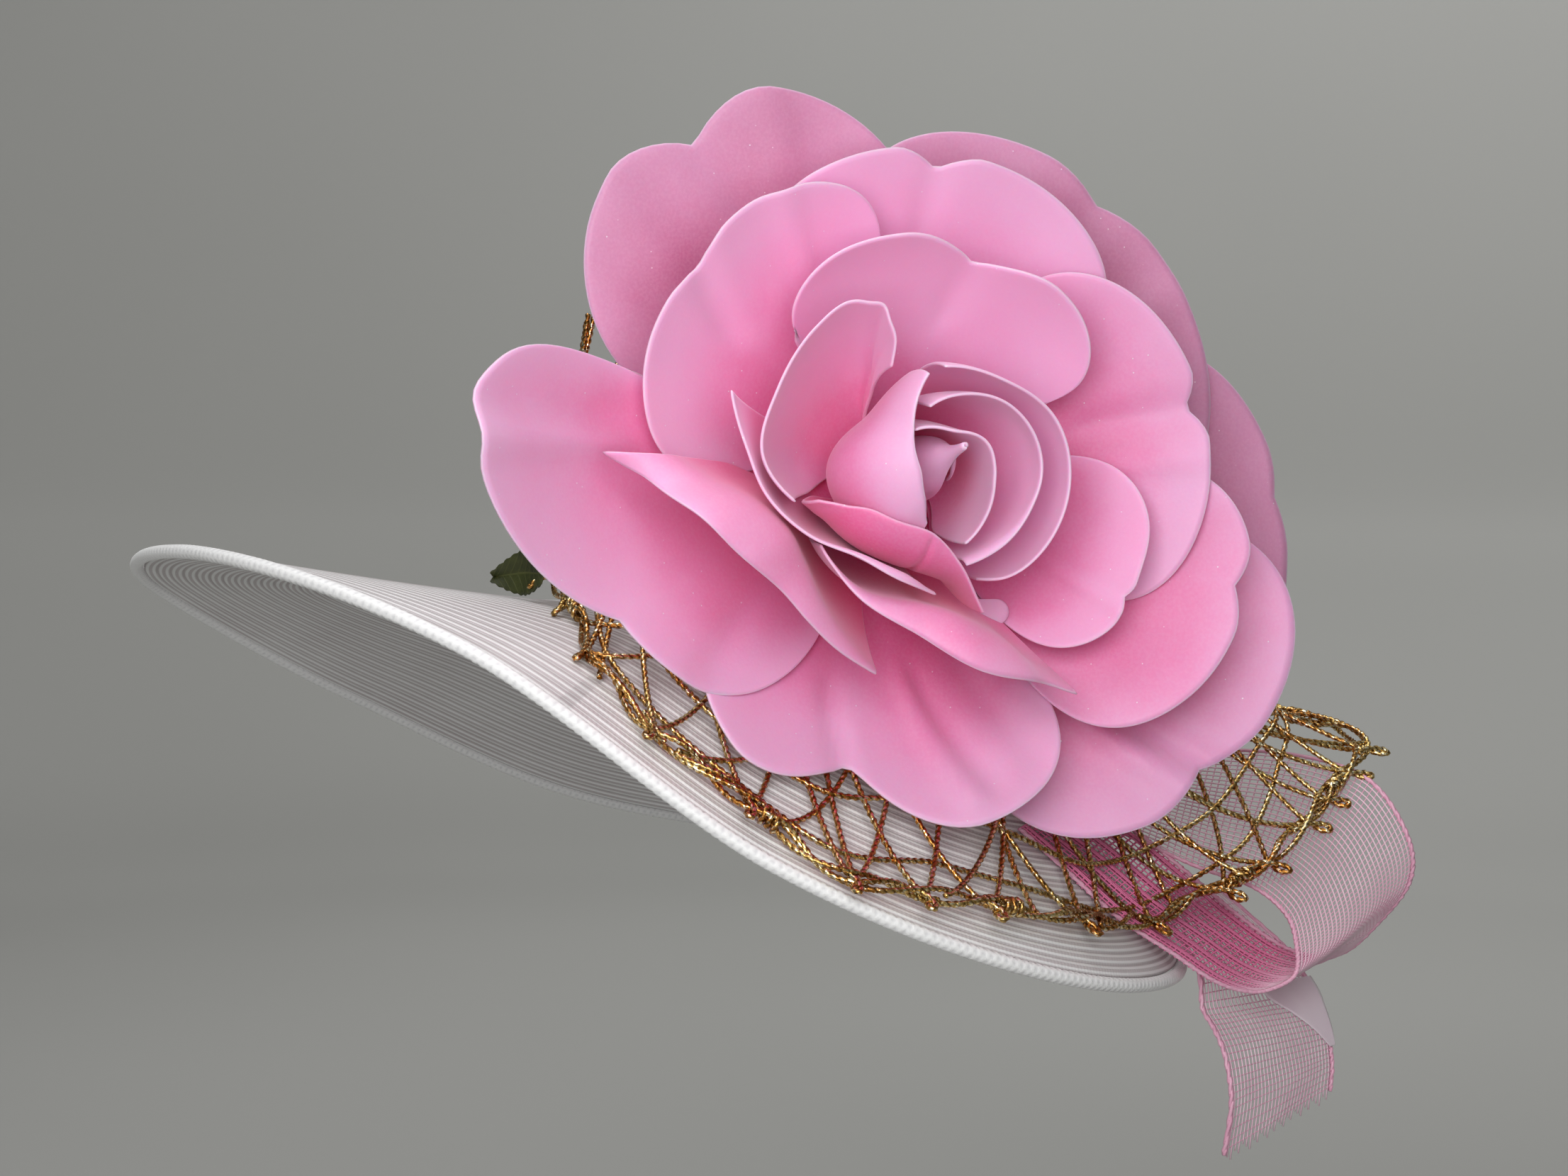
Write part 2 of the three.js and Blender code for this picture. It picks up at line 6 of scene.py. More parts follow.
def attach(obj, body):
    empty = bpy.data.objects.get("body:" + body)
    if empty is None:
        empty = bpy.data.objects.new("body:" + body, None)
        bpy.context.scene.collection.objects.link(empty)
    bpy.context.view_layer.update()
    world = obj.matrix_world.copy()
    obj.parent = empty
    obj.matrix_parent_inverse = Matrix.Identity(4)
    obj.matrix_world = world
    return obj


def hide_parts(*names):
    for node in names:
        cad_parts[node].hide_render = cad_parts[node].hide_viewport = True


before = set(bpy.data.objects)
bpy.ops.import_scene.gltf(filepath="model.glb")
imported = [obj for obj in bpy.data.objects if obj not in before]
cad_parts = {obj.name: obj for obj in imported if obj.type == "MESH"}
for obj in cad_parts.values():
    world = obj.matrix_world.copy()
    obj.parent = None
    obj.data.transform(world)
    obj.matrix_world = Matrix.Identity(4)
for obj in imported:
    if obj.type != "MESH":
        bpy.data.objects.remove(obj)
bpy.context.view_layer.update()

# A wide-brimmed race day hat: sewn braid crown and brim, a large foam rose, a gold cord net behind it, an
# open-mesh ribbon bow and a leaf. Tables and lengths are in millimetres and become metres in smooth_mesh().
MM = 0.001
# No cord starts along this direction, so its first section can be laid square to it
FIRST_SIDE = (0.3, 0.2, 0.93)

# Camera; the shifts are along its own right and up
CAMERA_LENS = 50.0
CAMERA_SENSOR = 36.0
CAMERA_DISTANCE = 1020.0
CAMERA_AZIMUTH = 20.0
CAMERA_ELEVATION = 2.0
CAMERA_SHIFT_RIGHT = 2.0
CAMERA_SHIFT_UP = 7.0

# Head opening, crown and brim
HEAD_HALF_WIDTH = 80.0
HEAD_HALF_LENGTH = 95.0
BRAID_WALL = 2.0
BRAID_PITCH = 5.8
CROWN_BASE = 1.6
CROWN_TOP = 104.8
CROWN_WALL = 1.9
CROWN_OUT = 2.2
CROWN_SQUARENESS = 0.6
EDGE_CORD_RADIUS = 3.0
EDGE_CORD_GAP = 0.3
KNIT_PITCH = 3.6
KNIT_RELIEF = 0.5

# The rose's place and its own directions; it faces the heading
ROSE_AT = np.array([78.0, -105.0, 58.0])
ROSE_HEADING = np.radians(35.0)
ROSE_SIDE = np.array([np.cos(ROSE_HEADING), np.sin(ROSE_HEADING), 0.0])
ROSE_UP = np.array([0.0, 0.0, 1.0])
ROSE_AXIS = np.array([np.sin(ROSE_HEADING), -np.cos(ROSE_HEADING), 0.0])
FOAM_WALL = 1.3
EDGE_THINNING = 0.55
OPEN_ROOT_RADIUS = 9.0
ROOT_NARROW = 0.55
ROOT_NARROW_TO = 60.0
BUD_ROOT_NARROW = 0.6
NOTCH_POWER = 1.6
OPEN_WAVE = 1.5
CORE_TIP = 0.72
# Back row of petals, darkened with painted shade as they lie behind the others
SHADED_BACK_ROW = ("petal_back_top_left", "petal_back_top_right", "petal_back_right")
TAB_AT = (29.5, -55.0, 44.0)
TAB_LENGTH = 14.5
TAB_HALF_WIDTH = 5.2

# Net cords: the twist is one turn's length and the groove's depth a share of the radius
NET_FALL_POWER = 1.4
NET_CORD_RADIUS = 1.35
CORD_TWIST = 6.5
CORD_GROOVE = 0.45
LOOP_SPREAD = 8.0
LOOP_TURN = 4.6
LOOP_REACH = 12.0
KNOT_AT = 9.0
KNOT_HALF_LENGTH = 4.0

# Brim edge: heading in degrees from the front towards the wearer's left, reach, height, fall
BRIM_EDGE = [
    (-160, 199, -135, 1.1), (-130, 231, -113, 1.2), (-100, 260, -53, 1.4), (-70, 291, 9, 1.3),
    (-40, 266, 25, 1.3), (-10, 236, -7, 1.3), (20, 216, -87, 1.05), (50, 207, -134, 0.95),
    (80, 192, -153, 0.95), (110, 177, -149, 1.0), (140, 177, -144, 1.0), (170, 185, -142, 1.05),
]

# Open petals: turn clockwise from the top and half the spread in degrees, length, height of the root, lean
# from the rose's axis at root and tip, share of the length at the sides, roundness of the top, lengthening
# towards the clockwise side, and the depth, place and width of the notch
OPEN_COLUMNS = ("name", "turn", "half", "length", "root_height", "lean_root", "lean_tip", "shoulder",
                "roundness", "skew", "notch", "notch_at", "notch_wide")
OPEN_PETALS = [
    ("petal_back_top_left", -30, 45, 159, 3, 86, 79, 0.35, 1.8, -0.05, 18, -0.03, 0.3),
    ("petal_back_top_right", 46, 50, 143, 2, 88, 81, 0.7, 2.6, 0.03, 6, -0.12, 0.22),
    ("petal_back_right", 100, 36, 178, 0, 90, 84, 0.6, 2.6, 0.12, 4, -0.2, 0.2),
    ("petal_back_low_right", 131, 34, 180, 3.2, 85, 64, 0.5, 2.6, -0.06, 8, 0.08, 0.3),
    ("petal_back_low", 189, 45, 143, 5.5, 83, 47, 0.45, 2.8, -0.09, 27, 0.06, 0.5),
    ("petal_back_left", -114, 43, 157, 7.6, 79, 48.5, 0.23, 4.0, 0.44, 23, -0.04, 0.7),
    ("petal_mid_top", 12, 42, 125, 8, 84, 56, 0.7, 2.8, -0.01, 9, -0.14, 0.2),
    ("petal_mid_left", -48, 42, 126, 9.8, 78, 46, 0.6, 2.4, 0.05, 7, -0.02, 0.2),
    ("petal_mid_right", 78, 44, 125, 11, 80, 53, 0.62, 2.4, 0.04, 8, -0.02, 0.15),
    ("petal_mid_low_right", 117, 30, 150, 8.7, 80, 49.7, 0.6, 2.4, 0.0, 6, -0.27, 0.25),
    ("petal_inner_top", 12, 53, 106, 13.8, 78, 24, 0.62, 3.0, -0.04, 15, 0.05, 0.4),
    ("petal_inner_right", 114, 30.5, 107, 13, 80, 39, 0.5, 2.6, 0.04, 3, 0.2, 0.12),
]

# Bud petals: radius, height and lean of the root, sideways shift of the tip, and sections: turn, radius and
# height of the crest, lean there, fullness of the belly below it, and length and roll of a lip past it
BUD_COLUMNS = ("name", "root_radius", "root_height", "lean_root", "shift", "sections")
BUD_PETALS = [
    ("petal_rolled_left", 9, 11, 82, (0, 0), [
        (273, 98, 74, 30, 1.2, 34, 140), (268, 86, 76, 24, 1.2, 28, 100), (261, 70, 78, 18, 1.2, 40, 60),
        (249, 61, 80, 15, 1.2, 36, 65), (236, 61, 80, 15, 1.2, 23, 65), (222, 65, 79, 15, 1.2, 16, 60),
        (207, 71, 76, 20, 1.2, 9, 50), (195, 78, 72, 25, 1.2, 2, 20)]),
    ("petal_lip_low", 9, 16, 84.5, (0, 0), [
        (238, 52, 80, 5, 1.25, 1, 10), (229, 53, 82, 5, 1.25, 3, 20), (213, 53, 83, 5, 1.25, 7, 60),
        (190, 50, 83, 5, 1.25, 18, 80), (172, 54, 82, 5, 1.25, 30, 85), (158, 67, 80, 15, 1.25, 24, 70),
        (151, 85, 77, 30, 1.25, 10, 40), (145, 102, 74, 40, 1.25, 3, 20)]),
    ("petal_side_left", 8, 20.2, 82.5, (0, 0), [
        (290, 84, 84, 22, 1.1, 0, 0), (276, 74, 86, 18, 1.1, 0, 0), (262, 67, 87, 14, 1.1, 0, 0),
        (245, 56, 87, 8, 1.1, 1, 20), (225, 44, 87, 0, 1.1, 3, 60), (200, 41, 87, 0, 1.1, 5, 80),
        (180, 46, 82, 5, 1.1, 1, 20)]),
    ("petal_folded_top", 8, 22.8, 82, (0, 0), [
        (-102, 56, 84, 10, 1.1), (-85, 68, 86, 12, 1.1), (-65, 69, 88, 15, 1.1), (-44, 71, 90, 15, 1.1),
        (-30, 71, 90, 15, 1.1), (-22, 63, 89, 12, 1.1), (-19, 52, 86, 8, 1.1), (-23, 42, 80, 4, 1.1)]),
    ("petal_bud_low", 8, 22.7, 84, (0, 0), [
        (256, 46, 80, -20, 1.1), (250, 38, 84, -42, 1.15), (238, 29, 89, -60, 1.18),
        (204, 23, 91, -65, 1.18), (180, 26, 90, -62, 1.18), (165, 38, 86, -35, 1.18),
        (158, 58, 76, 0, 1.18)]),
    ("bud_left", 7, 29, 75, (0, 0), [
        (-12, 36, 97, -20, 0.9), (-45, 19, 97, -60, 1.0), (-90, 11, 98, -72, 1.6), (-140, 13, 95, -70, 1.3),
        (-165, 20, 88, -50, 1.1)]),
    ("bud_right", 7, 27.5, 78, (0, 0), [
        (0, 38, 93, -15, 1.15), (35, 41, 92, -8, 1.15), (68, 50, 88, 0, 1.15), (95, 53, 85, 0, 1.15),
        (124, 52, 84, 0, 1.15), (143, 50, 80, 0, 1.15), (153, 46, 70, 0, 1.15)]),
    ("bud_third", 6.5, 29.5, 72, (0, 0), [
        (-15, 24, 94, -10, 1.15, 0, 0), (15, 29, 93, -8, 1.15, 0, 0), (50, 36, 92, -5, 1.15, 0, 0),
        (85, 40, 89, 0, 1.15, 0, 0), (112, 38, 87, 0, 1.15, 2, 20), (138, 35, 86, 0, 1.15, 5, 50),
        (162, 35, 80, 0, 1.15, 5, 60)]),
    ("bud_second", 6, 33, 60, (0, 0), [
        (-40, 19, 95, -5, 1.15), (9, 14.5, 97, -5, 1.15), (55, 18.5, 96, 0, 1.15), (85, 19, 95, 0, 1.15),
        (107, 20, 94, 0, 1.15), (134, 24, 91, 0, 1.15), (160, 29, 88, 0, 1.15)]),
    ("bud_core", 5, 38, 40, (6, 9), [
        (-200, 3.2, 100, -6, 1.2), (-120, 3, 100, -6, 1.2), (-40, 2.8, 99, -6, 1.2), (40, 2.6, 99, -6, 1.2),
        (120, 2.4, 98, -6, 1.2)]),
]

# Soft folds: start and end as place across (-1 to 1) and share along, height and width
FOLDS = {
    "petal_back_left": [(0.68, 0.5, 0.64, 1, 3.2, 0.06), (0.79, 0.5, 0.76, 1, -2.6, 0.06),
        (-0.35, 0.5, -0.5, 1, -1.8, 0.1)],
    "petal_back_low": [(-0.2, 0.45, -0.43, 0.9, 2.8, 0.06), (-0.32, 0.45, -0.54, 0.88, -2, 0.06),
        (0.24, 0.55, 0.08, 1, -2.6, 0.06), (-0.62, 0.4, -0.76, 0.9, -1.6, 0.08)],
    "petal_back_low_right": [(0.4, 0.42, 0.16, 1, 4.2, 0.07), (0.28, 0.42, 0.03, 1, -4.2, 0.07)],
    "petal_back_top_left": [(0.1, 0.5, -0.02, 1, -3, 0.09), (0.26, 0.72, 0.26, 1, 1.8, 0.07),
        (-0.4, 0.65, -0.36, 1, 1.6, 0.08)],
    "petal_back_top_right": [(-0.1, 0.5, -0.12, 1, -1.8, 0.08), (0.28, 0.7, 0.26, 1, 1.4, 0.07)],
    "petal_mid_left": [(-0.14, 0.6, -0.02, 1, -2.6, 0.08), (0.5, 0.55, 0.48, 1, 1.8, 0.08)],
    "petal_mid_top": [(-0.14, 0.55, -0.14, 1, -1.8, 0.08)],
    "petal_mid_right": [(-0.06, 0.55, -0.02, 1, -2, 0.07), (0.24, 0.6, 0.2, 0.98, 1.4, 0.06)],
    "petal_inner_top": [(0.05, 0.55, 0.05, 1, -1.8, 0.1)],
    "petal_inner_right": [(0.2, 0.55, 0.3, 1, 1.2, 0.07)],
    "petal_folded_top": [(0.6, 0.15, 0.42, 1, -2.6, 0.09)],
    "petal_bud_low": [(0.24, 0.5, 0.2, 0.94, -1.3, 0.035)],
}
# Painted light (paler) and painted shade (deeper, below zero) on whole petals, as a share of the way from
# root to tip
PAINTED_LIGHT_AND_SHADE = {
    "petal_inner_top": 0.3, "petal_folded_top": 0.35, "petal_mid_top": 0.1, "petal_mid_left": 0.1,
    "petal_rolled_left": -0.18, "petal_lip_low": -0.22, "petal_bud_low": -0.4, "petal_mid_low_right": -0.17,
    "petal_inner_right": -0.1, "petal_back_low_right": -0.1, "petal_mid_right": -0.08, "bud_left": 0.05,
    "bud_right": 0.4, "bud_third": 0.2, "bud_second": 0.2, "bud_core": 0.2,
}

# Net: heading, reach and height of the rim, reach and height of the upper edge
NET_SECTIONS = [
    (-41, 122, 40, 104, 84), (-34, 130, 32, 104, 126), (-22, 146, 16, 108, 128), (-9, 168, 2, 110, 110),
    (0, 202, -18, 112, 62), (9, 212, -44, 114, 34), (18, 212, -69, 116, 29), (27, 218, -93, 118, 29),
    (38, 210, -104, 118, 30), (52, 199, -115, 118, 30), (66, 192, -126, 114, 34), (80, 196, -127, 108, 45),
    (90, 228, -108, 104, 55), (98, 252, -82, 100, 50), (104, 268, -62, 98, 45), (114, 236, -52, 96, 30),
    (126, 198, -48, 94, 15),
]
# Where the cords turn back at the net's rim, as shares of the way round it
NET_CORNERS = [
    0.02, 0.07, 0.12, 0.17, 0.23, 0.3, 0.37, 0.44, 0.485, 0.526, 0.593, 0.661, 0.718, 0.746, 0.783, 0.805,
    0.834, 0.864, 0.91, 0.96,
]

# Ribbon stations, near edge then far edge: the bow from its upper end round the bend to its lower end
BOW_STATIONS = [
    (145, -45, -84, 148, 31, -67), (169, -10, -100, 168, 64, -70), (195, 1, -113, 197, 70, -69),
    (219, 7, -122, 234, 64, -70), (234, 3, -133, 264, 45, -77), (239, -3, -146, 281, 39, -99),
    (239, -8, -156, 283, 42, -120), (232, -15, -161, 269, 48, -141), (222, -23, -162, 251, 47, -157),
    (209, -34, -156, 230, 37, -154), (192, -46, -142, 208, 24, -137), (173, -62, -126, 190, 1, -116),
    (154, -72, -107, 168, -8, -97), (136, -84, -88, 149, -44, -78),
]
# The tail from the bow's underside over the brim's edge to its free end, left edge then right edge
TAIL_STATIONS = [
    (172, -24, -122, 196, 44, -128), (190, -20, -140, 216, 48, -146), (199, -18, -156, 229, 50, -158),
    (201, -20, -171, 241, 46, -174), (207, -25, -178, 245, 40, -181),
    (212, -30, -186, 248, 37, -189), (215, -34, -198, 250, 33, -197), (216, -36, -210, 251, 31, -204),
    (214, -37, -227, 250, 30, -213),
]
# The satin piece in front of the tail: place along the tail and where across it starts
SATIN_ROWS = [(0.33, 0.5), (0.4, 0.56), (0.51, 0.7), (0.62, 0.84), (0.73, 0.96)]
SATIN_LIFT = -2.0
SATIN_WALL = 0.5
RIBBON_WIDTH = 76.0
BOW_LENGTH = 480.0
TAIL_LENGTH = 116.0
PLEATS = 6
PLEAT_HEIGHT = 2.0
SLOW_WAVE = 0.35
THREAD_STEP = 3.5
WARP_RADIUS = 0.37
WEFT_RADIUS = 0.27
EDGE_THREAD_RADIUS = 0.85

# Leaf: place of the centreline and half the blade's width, from the tip to the hidden root
LEAF_STATIONS = [
    (-82, -133, 15, 1.5), (-75, -133, 16, 6), (-66, -135, 17, 9), (-59, -140, 17, 8), (-51, -147, 17, 4),
]
LEAF_WALL = 0.7
LEAF_TEETH = 9
LEAF_TOOTH_DEPTH = 1.3

# Floor and wall: reach and height, from the centre of the floor to the top of the wall
FLOOR_PROFILE = [
    (0, -460), (1600, -460), (2100, -440), (2450, -340), (2700, -60), (2800, 400), (2820, 2600),
]
WORLD_STRENGTH = 0.35


# Values


def smooth(x):
    c = np.clip(x, 0, 1)
    return c * c * (3 - 2 * c)


def spline(a, b, c, d, f):
    """Value at f of the way from b to c on a smooth curve through a, b, c and d."""
    bend = 2 * a - 5 * b + 4 * c - d
    twist = 3 * b - a - 3 * c + d
    return b + 0.5 * ((c - a) * f + bend * f**2 + twist * f**3)


def round_values(rows, heading):
    """Smooth values of every column of a table whose rows go evenly round the hat."""
    values = np.array(rows, float).T
    n = len(rows)
    k = (heading - rows[0][0]) / (360 / n)
    i = np.floor(k).astype(int)
    return spline(*[values[:, (i + step) % n] for step in (-1, 0, 1, 2)], k - i)


def open_values(rows, share):
    """Smooth values of every column of an open table, share 0 at its first row and 1 at its last."""
    values = np.array(rows, float).T
    last = len(rows) - 1
    k = share * last
    i = np.clip(np.floor(k).astype(int), 0, last - 1)
    return spline(*[values[:, np.clip(i + step, 0, last)] for step in (-1, 0, 1, 2)], k - i)


def unit(vectors):
    """The same directions, each with length 1."""
    return vectors / np.maximum(np.linalg.norm(vectors, axis=-1, keepdims=True), 1e-9)


def distance_along(points, axis=0):
    """Distance covered along a path, or along one axis of a grid of points."""
    steps = np.linalg.norm(np.diff(points, axis=axis), axis=-1)
    start = np.zeros_like(np.take(steps, [0], axis))
    return np.concatenate([start, np.cumsum(steps, axis)], axis)


def grid_normals(grid):
    """Unit normals of a grid of points, rows first."""
    return unit(np.cross(np.gradient(grid, axis=0), np.gradient(grid, axis=1)))


# Meshes


def add_object(name, data):
    made = bpy.data.objects.new(name, data)
    bpy.context.scene.collection.objects.link(made)
    return made


def smooth_mesh(name, points, quads, material, values, tris=()):
    """An object with a smooth mesh; values are named numbers for its material, one for each point."""
    made = bpy.data.meshes.new(name)
    quads = np.asarray(quads, np.int32)
    tris = np.asarray(tris, np.int32).reshape(-1, 3)
    corners = np.concatenate([quads.ravel(), tris.ravel()])
    starts = np.concatenate([np.arange(len(quads)) * 4, quads.size + np.arange(len(tris)) * 3])
    made.vertices.add(len(points))
    made.vertices.foreach_set("co", (points * MM).astype(np.float32).ravel())
    made.loops.add(len(corners))
    made.loops.foreach_set("vertex_index", corners)
    made.polygons.add(len(starts))
    made.polygons.foreach_set("loop_start", starts.astype(np.int32))
    made.polygons.foreach_set("use_smooth", np.ones(len(starts), bool))
    made.update(calc_edges=True)
    made.validate()
    for key, numbers in values.items():
        layer = made.attributes.new(key, "FLOAT", "POINT")
        layer.data.foreach_set("value", np.asarray(numbers, np.float32).ravel())
    made.materials.append(material)
    return add_object(name, made)


def build(name, points, quads, material, values, tris=()):
    """A smooth mesh piece that rides on the hat."""
    piece = smooth_mesh(name, points, quads, material, values, tris)
    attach(piece, "root")
    return piece


def sheet_faces(n, m, rows_closed=False, columns_closed=False):
    """Quads of an n by m grid numbered row by row; closed joins the last row or column to the first."""
    i, j = np.meshgrid(np.arange(n - (not rows_closed)), np.arange(m - (not columns_closed)), indexing="ij")
    next_i = (i + 1) % n
    next_j = (j + 1) % m
    return np.stack([i * m + j, next_i * m + j, next_i * m + next_j, i * m + next_j], -1).reshape(-1, 4)


def wall(grid, thickness):
    """Points and quads of a closed wall round a grid of middle points, thinner along its edges."""
    n, m = grid.shape[:2]
    half = np.full((n, m, 1), thickness / 2)
    half[[0, -1]] *= EDGE_THINNING
    half[:, [0, -1]] *= EDGE_THINNING
    lift = grid_normals(grid) * half
    points = np.concatenate([(grid + lift).reshape(-1, 3), (grid - lift).reshape(-1, 3)])
    front = sheet_faces(n, m)
    back = front[:, ::-1] + n * m
    ring = np.concatenate([np.arange(m), np.arange(1, n) * m + m - 1,
                           (n - 1) * m + np.arange(m - 2, -1, -1), np.arange(n - 2, 0, -1) * m])
    follow = np.roll(ring, -1)
    rim = np.stack([ring, follow, follow + n * m, ring + n * m], -1)
    return points, np.concatenate([front, back, rim])


def tube(path, radius, sides, twist=0.0, depth=0.0, value=0.0):
    """Points, quads, cap triangles and values of a tube. With a twist, two strands wind round it, one turn
    every twist, and a point's value is how far down it lies between them."""
    along = unit(np.gradient(path, axis=0))
    side = np.cross(along[0], FIRST_SIDE)
    sideways = np.zeros_like(path)
    for k in range(len(path)):
        side = unit(side - along[k] * np.dot(side, along[k]))
        sideways[k] = side
    other = np.cross(along, sideways)
    angle = np.linspace(0, 2 * np.pi, sides, endpoint=False)[None]
    values = np.broadcast_to(np.asarray(value, float).reshape(-1, 1), (len(path), sides))
    reach = np.full((len(path), sides), radius)
    if twist:
        values = 1 - np.abs(np.cos(angle - distance_along(path)[:, None] * 2 * np.pi / twist))
        reach = radius * (1 - depth * values)
    points = path[:, None] + reach[..., None] * (
        np.cos(angle)[..., None] * sideways[:, None] + np.sin(angle)[..., None] * other[:, None])
    quads = sheet_faces(len(path), sides, columns_closed=True)[:, [0, 3, 2, 1]]
    fan = np.arange(1, sides - 1)
    first = np.stack([np.zeros_like(fan), fan + 1, fan], -1)
    last = first[:, [0, 2, 1]] + (len(path) - 1) * sides
    return points.reshape(-1, 3), quads, np.concatenate([first, last]), values.ravel()


def joined(parts):
    """One set of points, quads, triangles and values from several."""
    points, quads, tris, values = zip(*parts)
    starts = np.cumsum([0] + [len(p) for p in points])
    quads = [faces + start for faces, start in zip(quads, starts)]
    tris = [faces + start for faces, start in zip(tris, starts)]
    return [np.concatenate(each) for each in (points, quads, tris, values)]


# Materials


class Shader:
    """A new node material with short calls for its nodes; a number or colour may stand in for a socket."""

    def __init__(self, name, colour, roughness, metallic=0.0):
        self.material = bpy.data.materials.new(name)
        self.material.use_nodes = True
        self.tree = self.material.node_tree
        self.inputs = self.tree.nodes["Principled BSDF"].inputs
        self.set({"Base Color": colour, "Roughness": roughness, "Metallic": metallic})

    def put(self, value, socket):
        """Link an output to a socket, or set the socket to a number or colour."""
        if hasattr(value, "is_linked"):
            self.tree.links.new(value, socket)
        elif socket.type == "RGBA":
            socket.default_value = (*value, 1)
        else:
            socket.default_value = value

    def set(self, values, inputs=None):
        """Link or set inputs by name, of the shader itself or of another node."""
        for name, value in values.items():
            self.put(value, (inputs or self.inputs)[name])

    def node(self, kind, values, output=0, **settings):
        """Output of a new node with its settings made and its inputs linked or set."""
        node = self.tree.nodes.new("ShaderNode" + kind)
        for name, setting in settings.items():
            setattr(node, name, setting)
        self.set(values, node.inputs)
        return node.outputs[output]

    def math(self, operation, a, b=0.0):
        return self.node("Math", {0: a, 1: b}, operation=operation)

    def minus(self, a, b):
        return self.math("SUBTRACT", a, b)

    def times(self, a, b):
        return self.math("MULTIPLY", a, b)

    def off_middle(self, share):
        """How far a share lies from one half."""
        return self.math("ABSOLUTE", self.minus(share, 0.5))

    def value(self, name):
        return self.node("Attribute", {}, "Fac", attribute_name=name)

    def texture(self, kind, output, values):
        place = self.node("TexCoord", {}, "Object")
        return self.node("Tex" + kind, {"Vector": place, **values}, output)

    def noise(self, scale, detail=3.0):
        return self.texture("Noise", "Fac", {"Scale": scale, "Detail": detail})

    def span(self, value, low, high, out_low=0.0, out_high=1.0):
        """The value moved evenly from the range low to high into the range out_low to out_high."""
        ranges = {"From Min": low, "From Max": high, "To Min": out_low, "To Max": out_high}
        return self.node("MapRange", {"Value": value, **ranges}, "Result")

    def mix(self, share, a, b):
        return self.node("Mix", {0: share, 6: a, 7: b}, 2, data_type="RGBA")

    def bump(self, height, strength, distance):
        values = {"Strength": strength, "Distance": distance, "Height": height}
        self.set({"Normal": self.node("Bump", values, "Normal")})


def foam_material():
    """Sprayed pink foam: pale lilac bloom, deeper pink towards the root, pale cut edge, fine glitter. Painted
    shade darkens the back row of petals.
    """
    foam = Shader("pink_foam", (0.83, 0.3, 0.5), 0.55)
    cloud = foam.times(foam.minus(foam.noise(16.0, 4.0), 0.5), 0.45)
    outward = foam.math("ADD", foam.value("outward"), cloud)
    colour = foam.mix(foam.span(outward, 0.28, 0.88), (0.82, 0.1, 0.31), (0.89, 0.335, 0.59))
    colour = foam.mix(foam.span(outward, 0.68, 1.02), colour, (0.92, 0.46, 0.71))
    # Painted shade: the back row of petals is mixed most of the way towards a dull, deeper pink
    dull = foam.mix(foam.span(outward, 0.55, 1.0), (0.38, 0.085, 0.19), (0.68, 0.3, 0.49))
    colour = foam.mix(foam.times(foam.value("back_row_shade"), 0.78), colour, dull)
    spray = foam.span(foam.noise(900.0, 1.0), 0.35, 0.7, 0.0, 0.1)
    colour = foam.mix(spray, colour, (0.95, 0.62, 0.8))
    cut = foam.span(foam.value("edge"), 0.2, 0.8, 0.4, 0.0)
    colour = foam.mix(cut, colour, (0.97, 0.68, 0.83))
    speck = foam.span(foam.texture("Voronoi", "Distance", {"Scale": 150.0}), 0.03, 0.055, 1.0, 0.0)
    foam.set({"Base Color": foam.mix(foam.times(speck, 0.7), colour, (1.0, 0.93, 0.98)),
              "Roughness": foam.minus(0.5, foam.times(speck, 0.35)),
              "Subsurface Weight": 0.6, "Subsurface Radius": (1.0, 0.35, 0.5), "Subsurface Scale": 0.004,
              "Sheen Weight": 0.3, "Sheen Roughness": 0.5, "Sheen Tint": (1.0, 0.86, 0.95),
              "Specular IOR Level": 0.42})
    foam.bump(foam.noise(700.0), 0.08, 0.0006)
    return foam.material


def braid_material():
    """Sewn straw braid: narrow glossy white ribs with duller, pinkish bands between them, and painted shade
    in the groove between rows.
    """
    braid = Shader("white_braid", (0.8, 0.8, 0.8), 0.36)
    phase = braid.math("FRACT", braid.value("row"))
    half = braid.math("FRACT", braid.times(phase, 2.0))
    rib = braid.span(braid.off_middle(half), 0.16, 0.3, 1.0, 0.0)
    # The groove between rows: darkened with painted shade below, and sunk in the bump
    groove = braid.math("MAXIMUM", braid.span(phase, 0.0, 0.06, 1.0, 0.0), braid.span(phase, 0.94, 1.0))
    lean = braid.math("ADD", braid.value("run"), braid.times(phase, 2.2))
    stitch = braid.math("FRACT", braid.times(lean, 1 / 1.7))
    fibre = braid.times(braid.span(braid.off_middle(stitch), 0.1, 0.5), 0.3)
    patch = braid.span(braid.noise(14.0), 0.3, 0.7)
    dull = braid.mix(patch, (0.56, 0.505, 0.515), (0.66, 0.63, 0.635))
    dull = braid.mix(fibre, dull, (0.44, 0.39, 0.4))
    colour = braid.mix(rib, dull, braid.mix(patch, (0.84, 0.84, 0.84), (0.92, 0.92, 0.92)))
    braid.set({"Base Color": braid.mix(braid.times(groove, 0.3), colour, (0.36, 0.32, 0.33)),
               "Roughness": braid.span(rib, 0.0, 1.0, 0.5, 0.3), "Specular IOR Level": 0.55})
    braid.bump(braid.minus(rib, braid.math("ADD", groove, fibre)), 0.5, 0.0004)
    return braid.material


def knit_material():
    """White knitted binding: white loop crests, with painted shade making the hollows between them grey."""
    knit = Shader("white_knit", (0.86, 0.86, 0.86), 0.55)
    # Painted shade: the hollows between the loops are greyed
    crest = knit.span(knit.value("crest"), 0.15, 0.75)
    knit.set({"Base Color": knit.mix(crest, (0.74, 0.74, 0.75), (0.9, 0.9, 0.9)), "Sheen Weight": 0.2})
    knit.bump(knit.noise(1500.0, 2.0), 0.3, 0.0004)
    return knit.material


